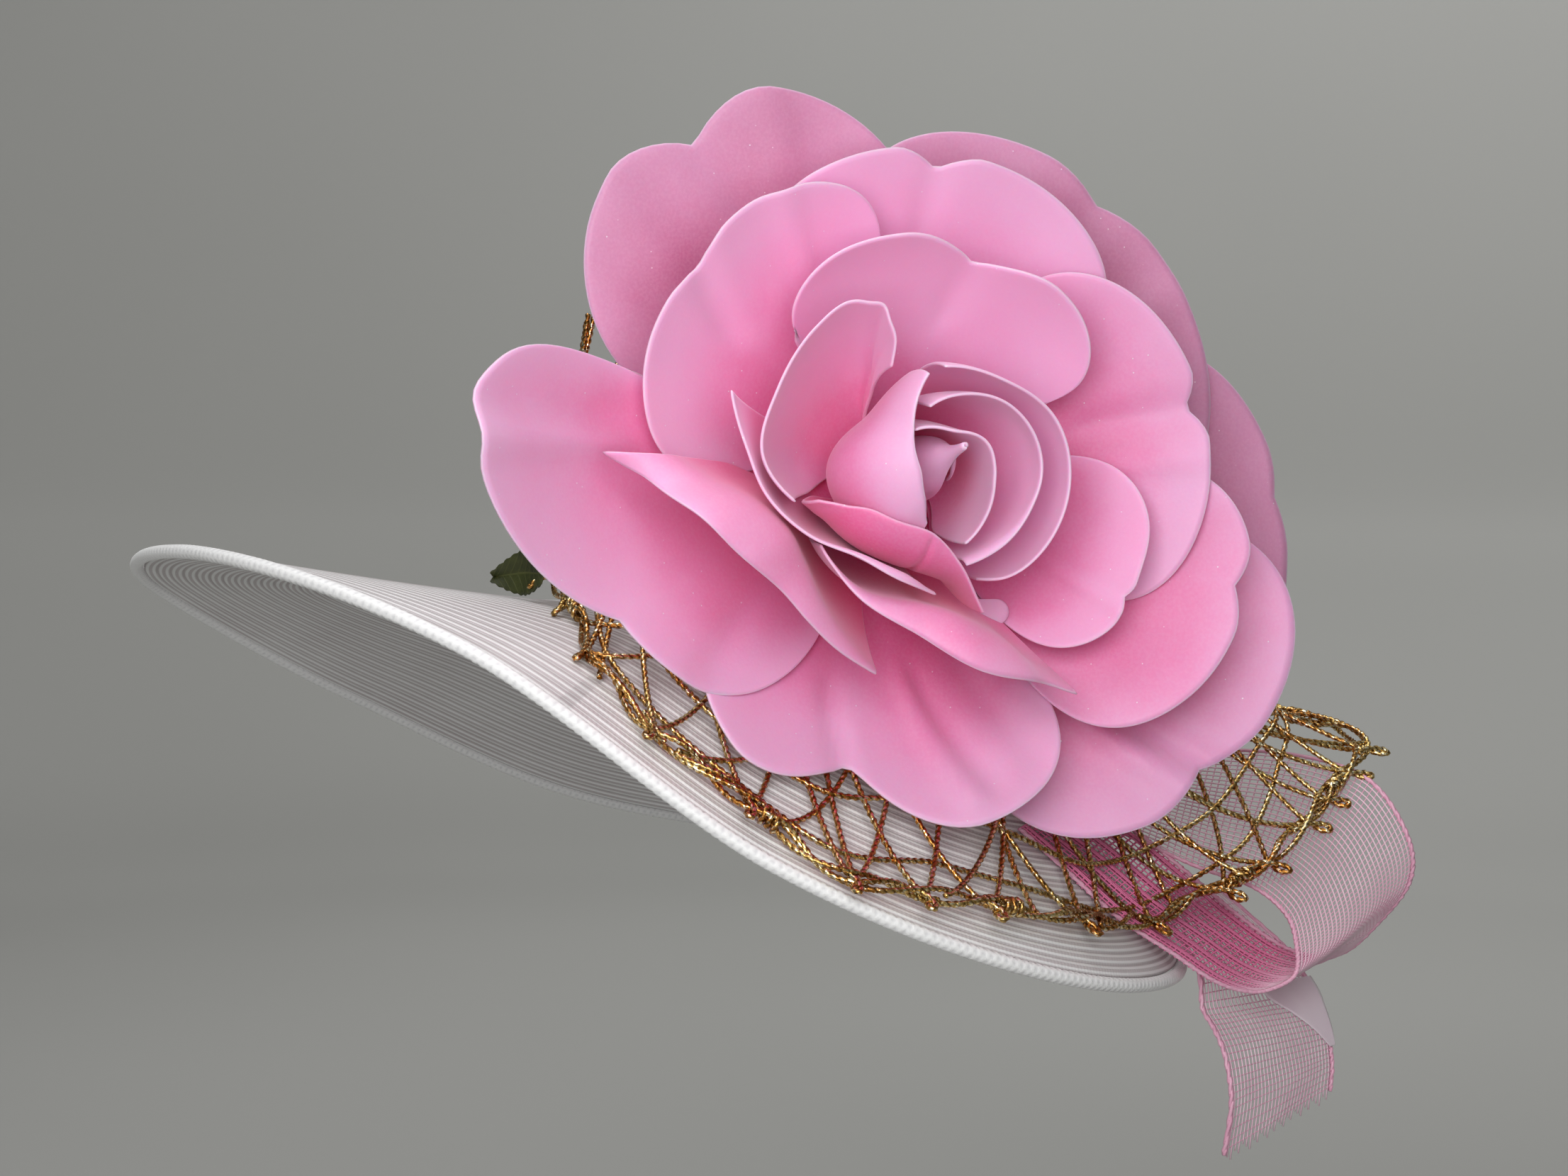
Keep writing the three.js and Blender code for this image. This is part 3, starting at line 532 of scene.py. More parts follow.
def gold_material():
    """Twisted metallised cord: bright gold with coppery stretches, painted glints and dark painted
    reflections along it, and painted shade between its two strands.
    """
    gold = Shader("gold_cord", (0.72, 0.49, 0.16), 0.26, 1.0)
    # Painted reflection: the glint noise paints dark brown stretches and bright gold glints along the cord
    glint = gold.noise(620.0, 2.0)
    colour = gold.mix(gold.span(gold.noise(38.0), 0.42, 0.56), (0.92, 0.66, 0.24), (0.66, 0.27, 0.06))
    colour = gold.mix(gold.span(glint, 0.4, 0.52, 0.75, 0.0), colour, (0.24, 0.11, 0.02))
    colour = gold.mix(gold.span(glint, 0.53, 0.62), colour, (1.0, 0.93, 0.64))
    # Painted shade: the groove between the cord's two strands is darkened to deep brown
    groove = gold.span(gold.value("groove"), 0.3, 0.8)
    gold.set({"Base Color": gold.mix(groove, colour, (0.13, 0.06, 0.015)),
              "Roughness": gold.span(glint, 0.3, 0.7, 0.36, 0.18)})
    gold.bump(gold.noise(1300.0, 2.0), 0.35, 0.0004)
    return gold.material


def thread_material():
    """Nylon thread: pale along the ribbon, pinker across it and along its edges, deepest where it gathers."""
    thread = Shader("pink_thread", (0.86, 0.5, 0.64), 0.32)
    kind = thread.value("kind")
    patch = thread.span(thread.noise(60.0, 2.0), 0.3, 0.7)
    colour = thread.mix(patch, (0.93, 0.7, 0.79), (0.86, 0.54, 0.67))
    colour = thread.mix(thread.span(kind, 0.0, 0.5), colour, (0.8, 0.4, 0.55))
    thread.set({"Base Color": thread.mix(thread.span(kind, 0.5, 1.0), colour, (0.78, 0.19, 0.38))})
    thread.bump(thread.noise(1800.0, 1.0), 0.2, 0.0002)
    return thread.material


def satin_material():
    """Pale pink satin with a fine weave running across it."""
    satin = Shader("pink_satin", (0.8, 0.62, 0.72), 0.34)
    patch = satin.span(satin.noise(30.0), 0.3, 0.7)
    satin.set({"Base Color": satin.mix(patch, (0.84, 0.68, 0.78), (0.92, 0.8, 0.87)),
               "Sheen Weight": 0.5, "Anisotropic": 0.4})
    satin.bump(satin.math("SINE", satin.times(satin.value("run"), 9.0)), 0.15, 0.0003)
    return satin.material


def leaf_material():
    """Dark olive leaf cloth with a paler midrib and fine veins."""
    leaf = Shader("olive_leaf", (0.05, 0.075, 0.012), 0.55)
    across = leaf.math("ABSOLUTE", leaf.value("across"))
    slant = leaf.minus(leaf.times(leaf.value("along"), 9.0), leaf.times(across, 1.6))
    vein = leaf.span(leaf.off_middle(leaf.math("FRACT", slant)), 0.03, 0.12, 1.0, 0.0)
    line = leaf.math("MAXIMUM", leaf.span(across, 0.02, 0.08, 1.0, 0.0), leaf.times(vein, 0.6))
    colour = leaf.mix(leaf.span(leaf.noise(120.0), 0.3, 0.7), (0.016, 0.022, 0.002), (0.045, 0.055, 0.006))
    leaf.set({"Base Color": leaf.mix(leaf.times(line, 0.5), colour, (0.11, 0.12, 0.03))})
    leaf.bump(leaf.minus(leaf.noise(900.0, 2.0), line), 0.4, 0.0005)
    return leaf.material


def foot_material():
    """Dull pink moulded foot under the petals."""
    foot = Shader("rose_foot", (0.72, 0.24, 0.42), 0.6)
    foot.set({"Base Color": foot.mix(foot.noise(40.0), (0.6, 0.18, 0.34), (0.82, 0.34, 0.54))})
    foot.bump(foot.noise(500.0, 2.0), 0.2, 0.0005)
    return foot.material


# Camera


def camera():
    azimuth = np.radians(CAMERA_AZIMUTH)
    elevation = np.radians(CAMERA_ELEVATION)
    right = np.array([np.cos(azimuth), np.sin(azimuth), 0])
    up = np.array([-np.sin(azimuth) * np.sin(elevation), np.cos(azimuth) * np.sin(elevation),
                   np.cos(elevation)])
    back = np.cross(right, up)
    place = (right * CAMERA_SHIFT_RIGHT + up * CAMERA_SHIFT_UP + back * CAMERA_DISTANCE) * MM
    data = bpy.data.cameras.new("camera")
    data.lens = CAMERA_LENS
    data.sensor_width = CAMERA_SENSOR
    data.sensor_fit = "HORIZONTAL"
    made = add_object("camera", data)
    turn = Matrix([right, up, back]).transposed().to_4x4()
    made.matrix_world = Matrix.Translation(Vector(place)) @ turn
    bpy.context.scene.camera = made


# Rose


def rose_point(turn, radius, height, shift=(0, 0)):
    """Place on the hat of a point given in the rose's own frame; turn is clockwise from the top."""
    x = radius * np.sin(np.radians(turn)) + shift[0]
    y = radius * np.cos(np.radians(turn)) + shift[1]
    return ROSE_AT + x[..., None] * ROSE_SIDE + y[..., None] * ROSE_UP + height[..., None] * ROSE_AXIS


def petal_top(petal, u):
    """Share of a petal's length that its outline reaches at u across, -1 to 1."""
    arc = np.maximum(1 - np.abs(u) ** petal["roundness"], 0) ** (1 / petal["roundness"])
    top = (petal["shoulder"] + (1 - petal["shoulder"]) * arc) * (1 + petal["skew"] * u)
    dip = np.maximum(1 - np.abs(u - petal["notch_at"]) / petal["notch_wide"], 0) ** NOTCH_POWER
    return top - petal["notch"] / petal["length"] * dip


def open_grid(petal, count, rows):
    """Middle points of an open petal, with u across and the share along its own outline."""
    u = np.sin(np.linspace(-np.pi / 2, np.pi / 2, count))
    end = petal["length"] * petal_top(petal, u)
    share = np.linspace(0, 1, rows)
    fine = 4
    steps = (rows - 1) * fine
    step = (end / steps)[:, None]
    middle = (np.arange(steps)[None] + 0.5) * step
    lean_change = petal["lean_tip"] - petal["lean_root"]
    lean = np.radians(petal["lean_root"] + lean_change * middle / petal["length"])
    zero = np.zeros((count, 1))
    outward, forward = [np.concatenate([zero, np.cumsum(step * part, 1)], 1)[:, ::fine]
                        for part in (np.sin(lean), np.cos(lean))]
    narrow = ROOT_NARROW + (1 - ROOT_NARROW) * smooth(end[:, None] * share / ROOT_NARROW_TO)
    turn = petal["turn"] + petal["half"] * u[:, None] * narrow
    return rose_point(turn, OPEN_ROOT_RADIUS + outward, petal["root_height"] + forward), u, share


def bud_grid(petal, count, rows):
    """Middle points of a bud petal, with u across and the share along. Each section is a smooth curve from
    the root to the crest, then a lip that rolls over past it."""
    across = np.linspace(0, 1, count)
    turn, radius, height, lean, swell, *rest = open_values(petal["sections"], across)[..., None]
    lip, roll = rest or (0 * turn, 0 * turn)
    lip = np.maximum(lip, 0)
    share = np.linspace(0, 1, rows)[None]
    chord = np.hypot(radius - petal["root_radius"], height - petal["root_height"])
    crest_at = chord / (chord + lip)
    lean_root = np.radians(petal["lean_root"])
    lean_crest = np.radians(lean)
    t = np.minimum(share / crest_at, 1)
    from_root = 2 * t**3 - 3 * t**2 + 1
    out_of_root = t**3 - 2 * t**2 + t
    into_crest = t**3 - t**2
    past = np.where(lip > 0, np.maximum((share - crest_at) / np.maximum(1 - crest_at, 1e-6), 0), 0)
    parts = 8

    def climb(root, crest, part):
        """One coordinate from root to crest and over the lip; part is the sine or the cosine."""
        place = from_root * root + (1 - from_root) * crest + swell * chord * (
            out_of_root * part(lean_root) + into_crest * part(lean_crest))
        for k in range(parts):
            bend = lean_crest + np.radians(roll) * past * ((k + 0.5) / parts)
            place = place + part(bend) * past * lip / parts
        return place

    outward = climb(petal["root_radius"], radius, np.sin)
    forward = climb(petal["root_height"], height, np.cos)
    middle = (petal["sections"][0][0] + petal["sections"][-1][0]) / 2
    narrow = BUD_ROOT_NARROW + (1 - BUD_ROOT_NARROW) * smooth(share / 0.5)
    shift = [part * share**2 for part in petal["shift"]]
    return rose_point(middle + (turn - middle) * narrow, outward, forward, shift), 2 * across - 1, share[0]


def petal_relief(name, seed, u, share, wave):
    """How far a petal's surface stands out along its normal: its folds and a slow wave along its edge."""
    chance = np.random.default_rng(seed)
    phase = chance.uniform(0, 2 * np.pi, 3)
    across = u[:, None]
    along = share[None]
    relief = wave * smooth((along - 0.45) / 0.55) * (
        0.6 * np.sin(5.0 * across + phase[0]) + 0.4 * np.sin(9.0 * across + phase[1] + 2 * along))
    for u0, s0, u1, s1, height, width in FOLDS.get(name, ()):
        du, ds = u1 - u0, s1 - s0
        t = np.clip(((across - u0) * du + (along - s0) * ds) / (du * du + ds * ds), 0, 1)
        apart = np.hypot(across - u0 - t * du, along - s0 - t * ds)
        relief = relief + height * np.exp(-((apart / width) ** 2)) * smooth(t * 3)
    return relief


def petal_piece(name, seed, grid, u, share, wave, foam):
    n, m = grid.shape[:2]
    grid = grid + grid_normals(grid) * petal_relief(name, seed, u, share, wave)[..., None]
    points, quads = wall(grid, FOAM_WALL)
    from_side = distance_along(grid, 0)
    from_root = distance_along(grid, 1)
    edge = np.minimum(np.minimum(from_side, from_side[-1] - from_side), from_root[:, -1:] - from_root)
    # outward also carries each petal's painted light and shade; the third value marks the back row for
    # painted shade
    values = {"edge": np.tile(edge.ravel(), 2), "outward": np.tile(share + PAINTED_LIGHT_AND_SHADE.get(name, 0.0), 2 * n),
              "back_row_shade": np.full(2 * n * m, float(name in SHADED_BACK_ROW))}
    piece = build(name + "_foam", points, quads, foam, values)
    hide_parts(name)


def rose(foam):
    for seed, row in enumerate(OPEN_PETALS, 1):
        petal = dict(zip(OPEN_COLUMNS, row))
        petal_piece(petal["name"], seed, *open_grid(petal, 81, 53), OPEN_WAVE, foam)
    for seed, row in enumerate(BUD_PETALS, 40):
        petal = dict(zip(BUD_COLUMNS, row))
        grid, u, share = bud_grid(petal, 77, 49)
        if petal["name"] == "bud_core":
            middle = grid.mean(axis=0, keepdims=True)
            grid = middle + (grid - middle) * (1 - CORE_TIP * smooth((share - 0.55) / 0.45))[None, :, None]
        petal_piece(petal["name"], seed, grid, u, share, 0.0, foam)


def petal_tab(foam):
    """The small rounded end of foam that shows below the bud, in front of the inner right petal."""
    u = np.sin(np.linspace(-np.pi / 2, np.pi / 2, 21))[:, None]
    reach = TAB_LENGTH * (0.6 + 0.4 * np.sqrt(1 - u**2)) * np.linspace(0, 1, 13)
    x = TAB_AT[0] + reach
    y = np.broadcast_to(TAB_AT[1] + TAB_HALF_WIDTH * u, reach.shape)
    points, quads = wall(rose_point(0.0, 0.0, TAB_AT[2] - 0.05 * reach, (x, y)), FOAM_WALL)
    values = {"edge": np.full(len(points), 0.6), "outward": np.ones(len(points)),
              "back_row_shade": np.zeros(len(points))}
    build("petal_tab", points, quads, foam, values)


# Crown and brim


def braid_places(rows):
    """Places across rows of braid, counted in rows: the groove, the crest and between them."""
    return (np.arange(rows)[:, None] + np.array([0, 0.15, 0.5, 0.85])).ravel()


def braid_bulge(phase, groove, crest):
    """How far the braid stands out at places counted in rows."""
    return np.where(phase % 1 == 0, -groove, np.where(phase % 1 == 0.5, crest, 0.0))


def crown(braid):
    """Rows of braid sewn round a dome, outside and inside; a groove follows each row."""
    sections = 168
    heading = np.linspace(0, 2 * np.pi, sections, endpoint=False)[:, None]
    climb = np.linspace(0, np.pi / 2, 600)
    narrow = (HEAD_HALF_WIDTH + CROWN_OUT) / (HEAD_HALF_LENGTH + CROWN_OUT)
    grids, rows, runs = [], [], []
    for inset, way in ((0.0, 1), (CROWN_WALL, -1)):
        profile = np.stack([(HEAD_HALF_LENGTH + CROWN_OUT - inset) * np.cos(climb) ** CROWN_SQUARENESS,
                            CROWN_BASE + (CROWN_TOP - inset) * np.sin(climb)], -1)
        up = distance_along(profile)
        count = int(round(up[-1] / BRAID_PITCH))
        phase = np.append(braid_places(count), count)
        r, z = [np.interp(phase / count * up[-1], up, profile[:, c]) for c in range(2)]
        bulge = braid_bulge(phase, 0.35, 0.15) * way
        dr, dz = np.gradient(r), np.gradient(z)
        size = np.maximum(np.hypot(dr, dz), 1e-9)
        r = np.maximum(r + bulge * dz / size, 0.0)
        z = z - bulge * dr / size
        grid = np.stack([r * np.sin(heading) * narrow, -r * np.cos(heading),
                         np.broadcast_to(z, (sections, len(z)))], -1)
        grids.append(grid.reshape(-1, 3))
        rows.append(np.tile(phase, sections))
        runs.append((heading * np.maximum(r, 1)).ravel())
    m, q = [len(grid) // sections for grid in grids]
    start = sections * m
    front = sheet_faces(sections, m, rows_closed=True)
    back = sheet_faces(sections, q, rows_closed=True)[:, ::-1] + start
    i = np.arange(sections)
    j = (i + 1) % sections
    foot = np.stack([i * m, start + i * q, start + j * q, j * m], -1)
    values = {"row": np.concatenate(rows), "run": np.concatenate(runs)}
    quads = np.concatenate([front, back, foot])
    piece = build("crown_braid", np.concatenate(grids), quads, braid, values)
    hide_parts("crown")


def brim_point(heading, share):
    """Point of the brim's middle at a heading in degrees and a share of the way from head to edge."""
    a = np.radians(heading)
    _, reach, height, fall = round_values(BRIM_EDGE, heading)
    x = (HEAD_HALF_WIDTH + (reach - HEAD_HALF_WIDTH) * share) * np.sin(a)
    y = -(HEAD_HALF_LENGTH + (reach - HEAD_HALF_LENGTH) * share) * np.cos(a)
    return np.stack([x, y, height * share**fall], -1)


def brim(braid):
    """Rows of braid parallel to the brim's edge; the inner rows end where they meet the head opening."""
    sections = 300
    headings = np.arange(sections)[:, None] * 360.0 / sections
    fine = np.linspace(1, 0, 401)
    inward = distance_along(brim_point(headings, fine[None]), 1)
    depth = inward[:, -1:]
    phase = braid_places(int(depth.max() / BRAID_PITCH) + 1)
    columns = len(phase)
    at = np.minimum(phase * BRAID_PITCH, depth)
    share = np.stack([np.interp(at[i], inward[i], fine) for i in range(sections)])
    grid = brim_point(headings, share)
    last = np.sum(phase * BRAID_PITCH < depth, axis=1, keepdims=True)
    number = np.arange(sections)[:, None] * columns + np.minimum(np.arange(columns), last)

    around = np.roll(grid, -1, 0) - np.roll(grid, 1, 0)
    along = np.gradient(grid, axis=1)
    held = np.linalg.norm(along, axis=2) < 1e-6
    for j in range(1, columns):
        along[held[:, j], j] = along[held[:, j], j - 1]
    normal = unit(np.cross(along, around))
    normal *= np.where(normal[..., 2:] < 0, -1, 1)
    lift = normal * (BRAID_WALL / 2 + braid_bulge(phase, 0.45, 0.2))[:, None]

    flat = number.ravel()
    size = len(flat)
    points = np.zeros((2 * size, 3))
    points[flat] = (grid + lift).reshape(-1, 3)
    points[flat + size] = (grid - lift).reshape(-1, 3)
    corners = flat[sheet_faces(sections, columns, rows_closed=True)]
    tris = np.concatenate([corners[:, [0, 1, 2]], corners[:, [0, 2, 3]]])
    whole = (tris[:, 0] != tris[:, 1]) & (tris[:, 1] != tris[:, 2]) & (tris[:, 0] != tris[:, 2])
    tris = np.concatenate([tris[whole], tris[whole][:, ::-1] + size])
    start, end = number[:, 0], number[:, -1]
    next_start, next_end = np.roll(start, -1), np.roll(end, -1)
    outer = np.stack([start, start + size, next_start + size, next_start], -1)
    inner = np.stack([end, next_end, next_end + size, end + size], -1)
    quads = np.concatenate([outer, inner])
    used = np.unique(np.concatenate([tris.ravel(), quads.ravel()]))
    renumber = np.zeros(2 * size, int)
    renumber[used] = np.arange(len(used))
    run = np.radians(headings) * np.hypot(grid[..., 0], grid[..., 1])
    values = {"row": np.tile((at / BRAID_PITCH).ravel(), 2)[used], "run": np.tile(run.ravel(), 2)[used]}
    piece = build("brim_braid", points[used], renumber[quads], braid, values, renumber[tris])
    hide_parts("brim")


def brim_edge(knit):
    """The knitted cord that binds the brim: two sets of loops cross as they wind along it."""
    sections = 1500
    sides = 18
    headings = np.arange(sections) * 360.0 / sections
    edge = brim_point(headings, np.ones(sections))
    out = unit(edge - brim_point(headings, np.full(sections, 0.97)))
    up = unit(np.cross(out, np.roll(edge, -1, 0) - np.roll(edge, 1, 0)))
    centre = edge + out * (EDGE_CORD_RADIUS + EDGE_CORD_GAP)
    covered = np.cumsum(np.linalg.norm(edge - np.roll(edge, 1, 0), axis=1))
    turns = round(covered[-1] / KNIT_PITCH)
    run = covered[:, None] / covered[-1] * turns * 2 * np.pi
    angle = np.arange(sides) * 2 * np.pi / sides
    crest = np.maximum(np.cos(3 * angle + run), np.cos(3 * angle - run)) * 0.5 + 0.5
    reach = EDGE_CORD_RADIUS - KNIT_RELIEF + KNIT_RELIEF * crest
    points = centre[:, None] + reach[..., None] * (
        np.cos(angle)[:, None] * out[:, None] + np.sin(angle)[:, None] * up[:, None])
    quads = sheet_faces(sections, sides, rows_closed=True, columns_closed=True)
    piece = build("brim_edge_knit", points.reshape(-1, 3), quads, knit, {"crest": crest})
    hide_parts("brim_edge")


# Net


def net_point(round_share, down):
    """Point of the net at a share round it and a share down from its upper edge."""
    share = np.clip(round_share, 0, 1)
    heading, rim_reach, rim_height, top_reach, top_height = open_values(NET_SECTIONS, share)
    fall = 1 - (1 - np.clip(down, 0, 1)) ** NET_FALL_POWER
    reach = top_reach + (rim_reach - top_reach) * down
    height = top_height + (rim_height - top_height) * fall
    a = np.radians(heading)
    return np.stack([reach * np.sin(a), -reach * np.cos(a), height], -1)


def gold_cord(path, step=0.85):
    """A twisted cord along a path, whose points are first set an even step apart."""
    covered = distance_along(path)
    at = np.arange(0, covered[-1], step)
    even = np.stack([np.interp(at, covered, path[:, c]) for c in range(3)], -1)
    return tube(even, NET_CORD_RADIUS, 6, twist=CORD_TWIST, depth=CORD_GROOVE)


def net_cord(places, lift):
    """A cord through places (share round, share down) on the net, lifted off it."""
    places = np.asarray(places, float)
    k = np.linspace(0, len(places) - 1, 40 * (len(places) - 1))
    across, down = [np.interp(k, np.arange(len(places)), places[:, c]) for c in range(2)]
    for _ in range(12):
        for values in (across, down):
            values[1:-1] = (values[:-2] + 2 * values[1:-1] + values[2:]) / 4
    span = net_point(across + 0.002, down) - net_point(across - 0.002, down)
    fall = net_point(across, np.minimum(down + 0.01, 1)) - net_point(across, np.maximum(down - 0.01, 0))
    return gold_cord(net_point(across, down) + unit(np.cross(span, fall)) * lift)


def net_rim(share):
    """The rim at shares round it, with its directions away from the hat and square to the net."""
    end = np.ones_like(share)
    rim = net_point(share, end)
    out = unit(rim - net_point(share, 0.97 * end))
    along = net_point(share + 0.004, end) - net_point(share - 0.004, end)
    return rim, out, unit(np.cross(along, out))


def rising_cords(chance):
    """Cords that rise in pairs from the loops in the net's rim, and more cords between them."""
    cords = []
    for corner in NET_CORNERS:
        for direction in (-1, 1):
            far = np.clip(corner + direction * chance.uniform(0.04, 0.15), 0.0, 1.0)
            middle = (corner + far) / 2 + chance.uniform(-0.012, 0.012)
            cords.append(net_cord([(corner, 1.0), (middle, 0.5), (far, 0.0)], chance.uniform(-1.0, 1.0)))
    for at in np.linspace(0.02, 0.98, 17):
        start = np.clip(at + chance.uniform(-0.02, 0.02), 0.0, 1.0)
        far = np.clip(start + chance.uniform(-0.2, 0.2), 0.0, 1.0)
        cords.append(net_cord([(start, 1.0), (far, 0.0)], chance.uniform(-1.4, 1.4)))
    return cords


def round_cords(chance):
    """A few cords that wander round the net."""
    cords = []
    for down in (0.25, 0.42, 0.57, 0.7, 0.85):
        places = list(zip(np.linspace(0.0, 1.0, 9), down + chance.uniform(-0.09, 0.09, 9)))
        cords.append(net_cord(places, chance.uniform(-1.2, 1.2)))
    return cords


def rim_cords():
    """The net's rim: three loose strands, a turned-back loop at every corner and a knot at every third."""
    rim, out, up = net_rim(np.linspace(0, 1, 900))
    covered = distance_along(rim)[:, None]
    length = covered[-1, 0]
    cords = []
    for phase, wave_length in ((0.0, 62), (2.1, 47), (4.2, 81)):
        wave = covered * 2 * np.pi / wave_length + phase
        cords.append(gold_cord(rim + out * (3.0 * np.sin(wave) - 1.5) + up * (2.6 * np.cos(wave))))
    t = np.linspace(-1, 1, 41)
    column = t[:, None]
    for k, corner in enumerate(NET_CORNERS):
        rim, out, up = net_rim(corner + (LOOP_SPREAD * t - LOOP_TURN * np.sin(np.pi * t)) / length)
        reach = LOOP_REACH * np.cos(np.pi * column / 2) ** 2 - 2.0
        cords.append(gold_cord(rim + out * reach + up * (1.8 * column)))
        if k % 3 == 0:
            rim, out, up = net_rim(corner + (KNOT_AT + KNOT_HALF_LENGTH * t) / length)
            wind = 2.5 * np.pi * column
            cords.append(gold_cord(rim + 3.0 * (out * np.cos(wind) + up * np.sin(wind)) - out * 1.5))
    return cords


def gold_net(gold):
    """The open net of twisted cord; what goes round it is a piece of its own."""
    chance = np.random.default_rng(7)
    for name, cords in (("gold_net_cords", rising_cords(chance)),
                        ("gold_net_rim", round_cords(chance) + rim_cords())):
        # The groove values carry the painted shade between each cord's strands
        points, quads, tris, groove = joined(cords)
        build(name, points, quads, gold, {"groove": groove}, tris)
    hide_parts("gold_net")


# Ribbon


def strip_point(stations, along, across):
    values = np.moveaxis(open_values(stations, along), 0, -1)
    near, far = values[..., :3], values[..., 3:]
    return near + (far - near) * across[..., None]


def open_mesh(name, stations, length, warps, wefts, thread, gather_from=2.0, free_end=0.0):
    """A ribbon of separate threads: long ones between its edges, cross ones, and thick looped edges. Past
    gather_from it is drawn together in soft pleats that lie over one another, so more threads show there."""
    threads = []
    steps = int(length / THREAD_STEP)

    def gathered(along):
        return smooth((along - gather_from) / 0.16)

    def place(along, across):
        path = strip_point(stations, along, across)
        facing = unit(np.cross(strip_point(stations, along, across + 0.02) - path,
                               strip_point(stations, along + 0.004, across) - path))
        pleat = PLEAT_HEIGHT * gathered(along) * np.sin(2 * np.pi * PLEATS * across)
        return path + facing * (pleat + SLOW_WAVE * np.sin(9 * across + 14 * along))[:, None]

    for k, across in enumerate(np.linspace(0, 1, warps)):
        along = np.linspace(0, 1, steps)
        path = place(along, np.full(steps, across))
        if free_end:
            reach = free_end * (0.35 + 0.65 * ((k * 7) % 5) / 4)
            path = np.concatenate([path, path[-1:] + unit(path[-1] - path[-2]) * reach])
            along = np.append(along, 1.0)
        if k in (0, warps - 1):
            wind = np.arange(len(path)) * 1.9
            loops = np.stack([np.sin(wind), np.cos(wind), np.zeros(len(path))], -1) * 0.5
            threads.append(tube(path + loops, EDGE_THREAD_RADIUS, 5, value=0.4))
            threads.append(tube(path - loops, EDGE_THREAD_RADIUS, 5, value=0.5))
        else:
            threads.append(tube(path, WARP_RADIUS, 4, value=0.95 * gathered(along)))
        if k and gather_from < 1:
            along = np.linspace(gather_from, 1, int(steps * (1 - gather_from)))
            between = np.full(len(along), across - 0.5 / (warps - 1))
            threads.append(tube(place(along, between), WARP_RADIUS * 1.1, 4, value=0.95 * gathered(along)))
    for at in np.linspace(0.0, 1.0, wefts):
        path = place(np.full(24, at), np.linspace(-0.012, 1.012, 24))
        threads.append(tube(path, WEFT_RADIUS * (1 + 0.6 * gathered(at)), 4, value=0.5 + 0.5 * gathered(at)))
    points, quads, tris, kind = joined(threads)
    piece = build(name + "_threads", points, quads, thread, {"kind": kind}, tris)
    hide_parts(name)
    return piece


def satin(cloth):
    rows, columns = 30, 16
    share = np.linspace(0, 1, rows)
    along, start = open_values(SATIN_ROWS, share)[..., None]

    def tail_point(step, across):
        return strip_point(TAIL_STATIONS, along + step, np.full((rows, 1), across))

    down = tail_point(0.05, 0.5) - tail_point(0, 0.5)
    sideways = tail_point(0, 1.0) - tail_point(0, 0.0)
    across = start + (1.01 - start) * np.linspace(0, 1, columns)
    grid = strip_point(TAIL_STATIONS, np.broadcast_to(along, across.shape), across)
    points, quads = wall(grid + unit(np.cross(sideways, down)) * SATIN_LIFT, SATIN_WALL)
    run = np.tile((across * RIBBON_WIDTH).ravel(), 2)
    piece = build("satin_tail_cloth", points, quads, cloth, {"run": run})
    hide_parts("satin_tail")
    return piece


def leaf(cloth):
    rows, columns = 61, 17
    share = np.linspace(0, 1, rows)
    x, y, z, half = open_values(LEAF_STATIONS, share)[..., None]
    share = share[:, None]
    u = np.linspace(-1, 1, columns)[None]
    tooth = np.abs((share * LEAF_TEETH) % 1 - 0.35)
    reach = half + LEAF_TOOTH_DEPTH * (0.5 - tooth) * smooth(np.abs(u) * 2 - 1)
    curl = 0.8 * np.sin(7 * share) * np.abs(u) ** 2
    grid = np.stack([np.broadcast_to(x, reach.shape), y + 3 - 3 * np.abs(u) + curl, z + u * reach], -1)
    points, quads = wall(grid, LEAF_WALL)
    values = {"across": np.tile(u.ravel(), 2 * rows), "along": np.tile(np.repeat(share, columns), 2)}
    piece = build("leaf_blade", points, quads, cloth, values)
    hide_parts("leaf")


# Stage and lights


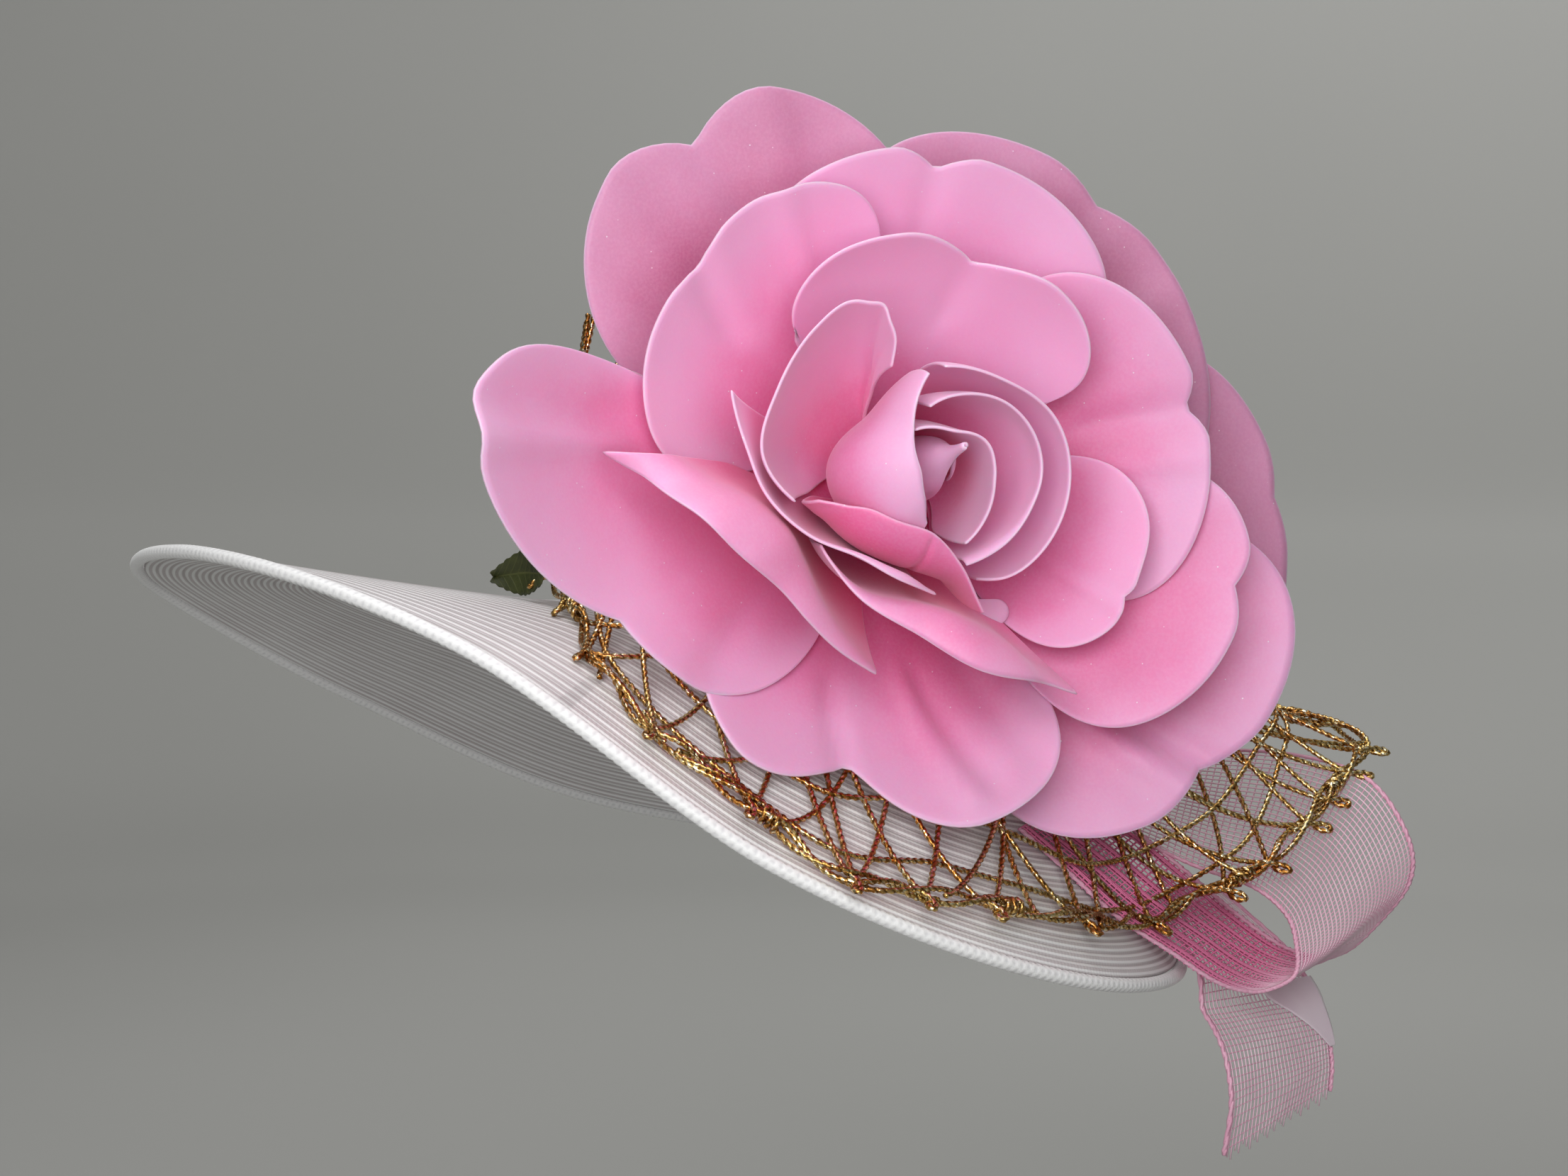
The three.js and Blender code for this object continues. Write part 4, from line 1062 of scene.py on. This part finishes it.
def stage():
    """A pale floor that curves up into a plain wall all round, far outside every view's camera."""
    sections, rings = 96, 60
    share = np.linspace(0, 1, rings)
    reach, height = open_values(FLOOR_PROFILE, share)
    heading = np.linspace(0, 2 * np.pi, sections, endpoint=False)[:, None]
    grid = np.stack([reach * np.sin(heading), -reach * np.cos(heading),
                     np.broadcast_to(height, (sections, rings))], -1)
    paint = Shader("floor_paint", (0.4, 0.4, 0.385), 0.9)
    colour = paint.mix(paint.noise(0.8, 2.0), (0.36, 0.36, 0.345), (0.42, 0.42, 0.405))
    paint.set({"Base Color": colour, "Specular IOR Level": 0.1})
    quads = sheet_faces(sections, rings, rows_closed=True)
    floor = smooth_mesh("floor", grid.reshape(-1, 3), quads, paint.material, {})


def area_light(name, place, target, size, power):
    data = bpy.data.lights.new(name, "AREA")
    data.shape = "RECTANGLE"
    data.size, data.size_y = size
    data.energy = power
    made = add_object(name, data)
    made.visible_camera = False
    aim = Vector(target) - Vector(place)
    made.matrix_world = Matrix.Translation(Vector(place)) @ aim.to_track_quat("-Z", "Y").to_matrix().to_4x4()


def lights():
    """Places and sizes in metres, power in watts."""
    area_light("key", (0.1, -1.75, 0.45), (0.03, -0.05, 0.0), (1.3, 1.0), 5)
    area_light("near", (0.26, -0.72, 0.14), (0.08, -0.12, 0.05), (0.5, 0.4), 2.9)
    area_light("top", (-0.2, -0.35, 1.9), (0.05, -0.05, 0.0), (1.5, 1.5), 16)
    area_light("backdrop", (0.5, 0.9, 1.5), (-0.5, 2.8, 0.9), (1.6, 1.0), 30)
    world = bpy.data.worlds.new("world")
    world.use_nodes = True
    inputs = world.node_tree.nodes["Background"].inputs
    inputs["Color"].default_value = (1, 1, 1, 1)
    inputs["Strength"].default_value = WORLD_STRENGTH
    bpy.context.scene.world = world
    bpy.context.scene.view_settings.view_transform = "Standard"


# Everything

camera()
foam = foam_material()
rose(foam)
petal_tab(foam)
braid = braid_material()
crown(braid)
brim(braid)
brim_edge(knit_material())
gold_net(gold_material())
thread = thread_material()
bow = open_mesh("crin_bow", BOW_STATIONS, BOW_LENGTH, 31, 130, thread, gather_from=0.56)
tail = open_mesh("crin_tail", TAIL_STATIONS, TAIL_LENGTH, 31, 32, thread, free_end=6.0)
satin_cloth = satin(satin_material())
leaf(leaf_material())
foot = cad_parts["rose_base"]
foot.data.materials.clear()
foot.data.materials.append(foot_material())
stage()
lights()
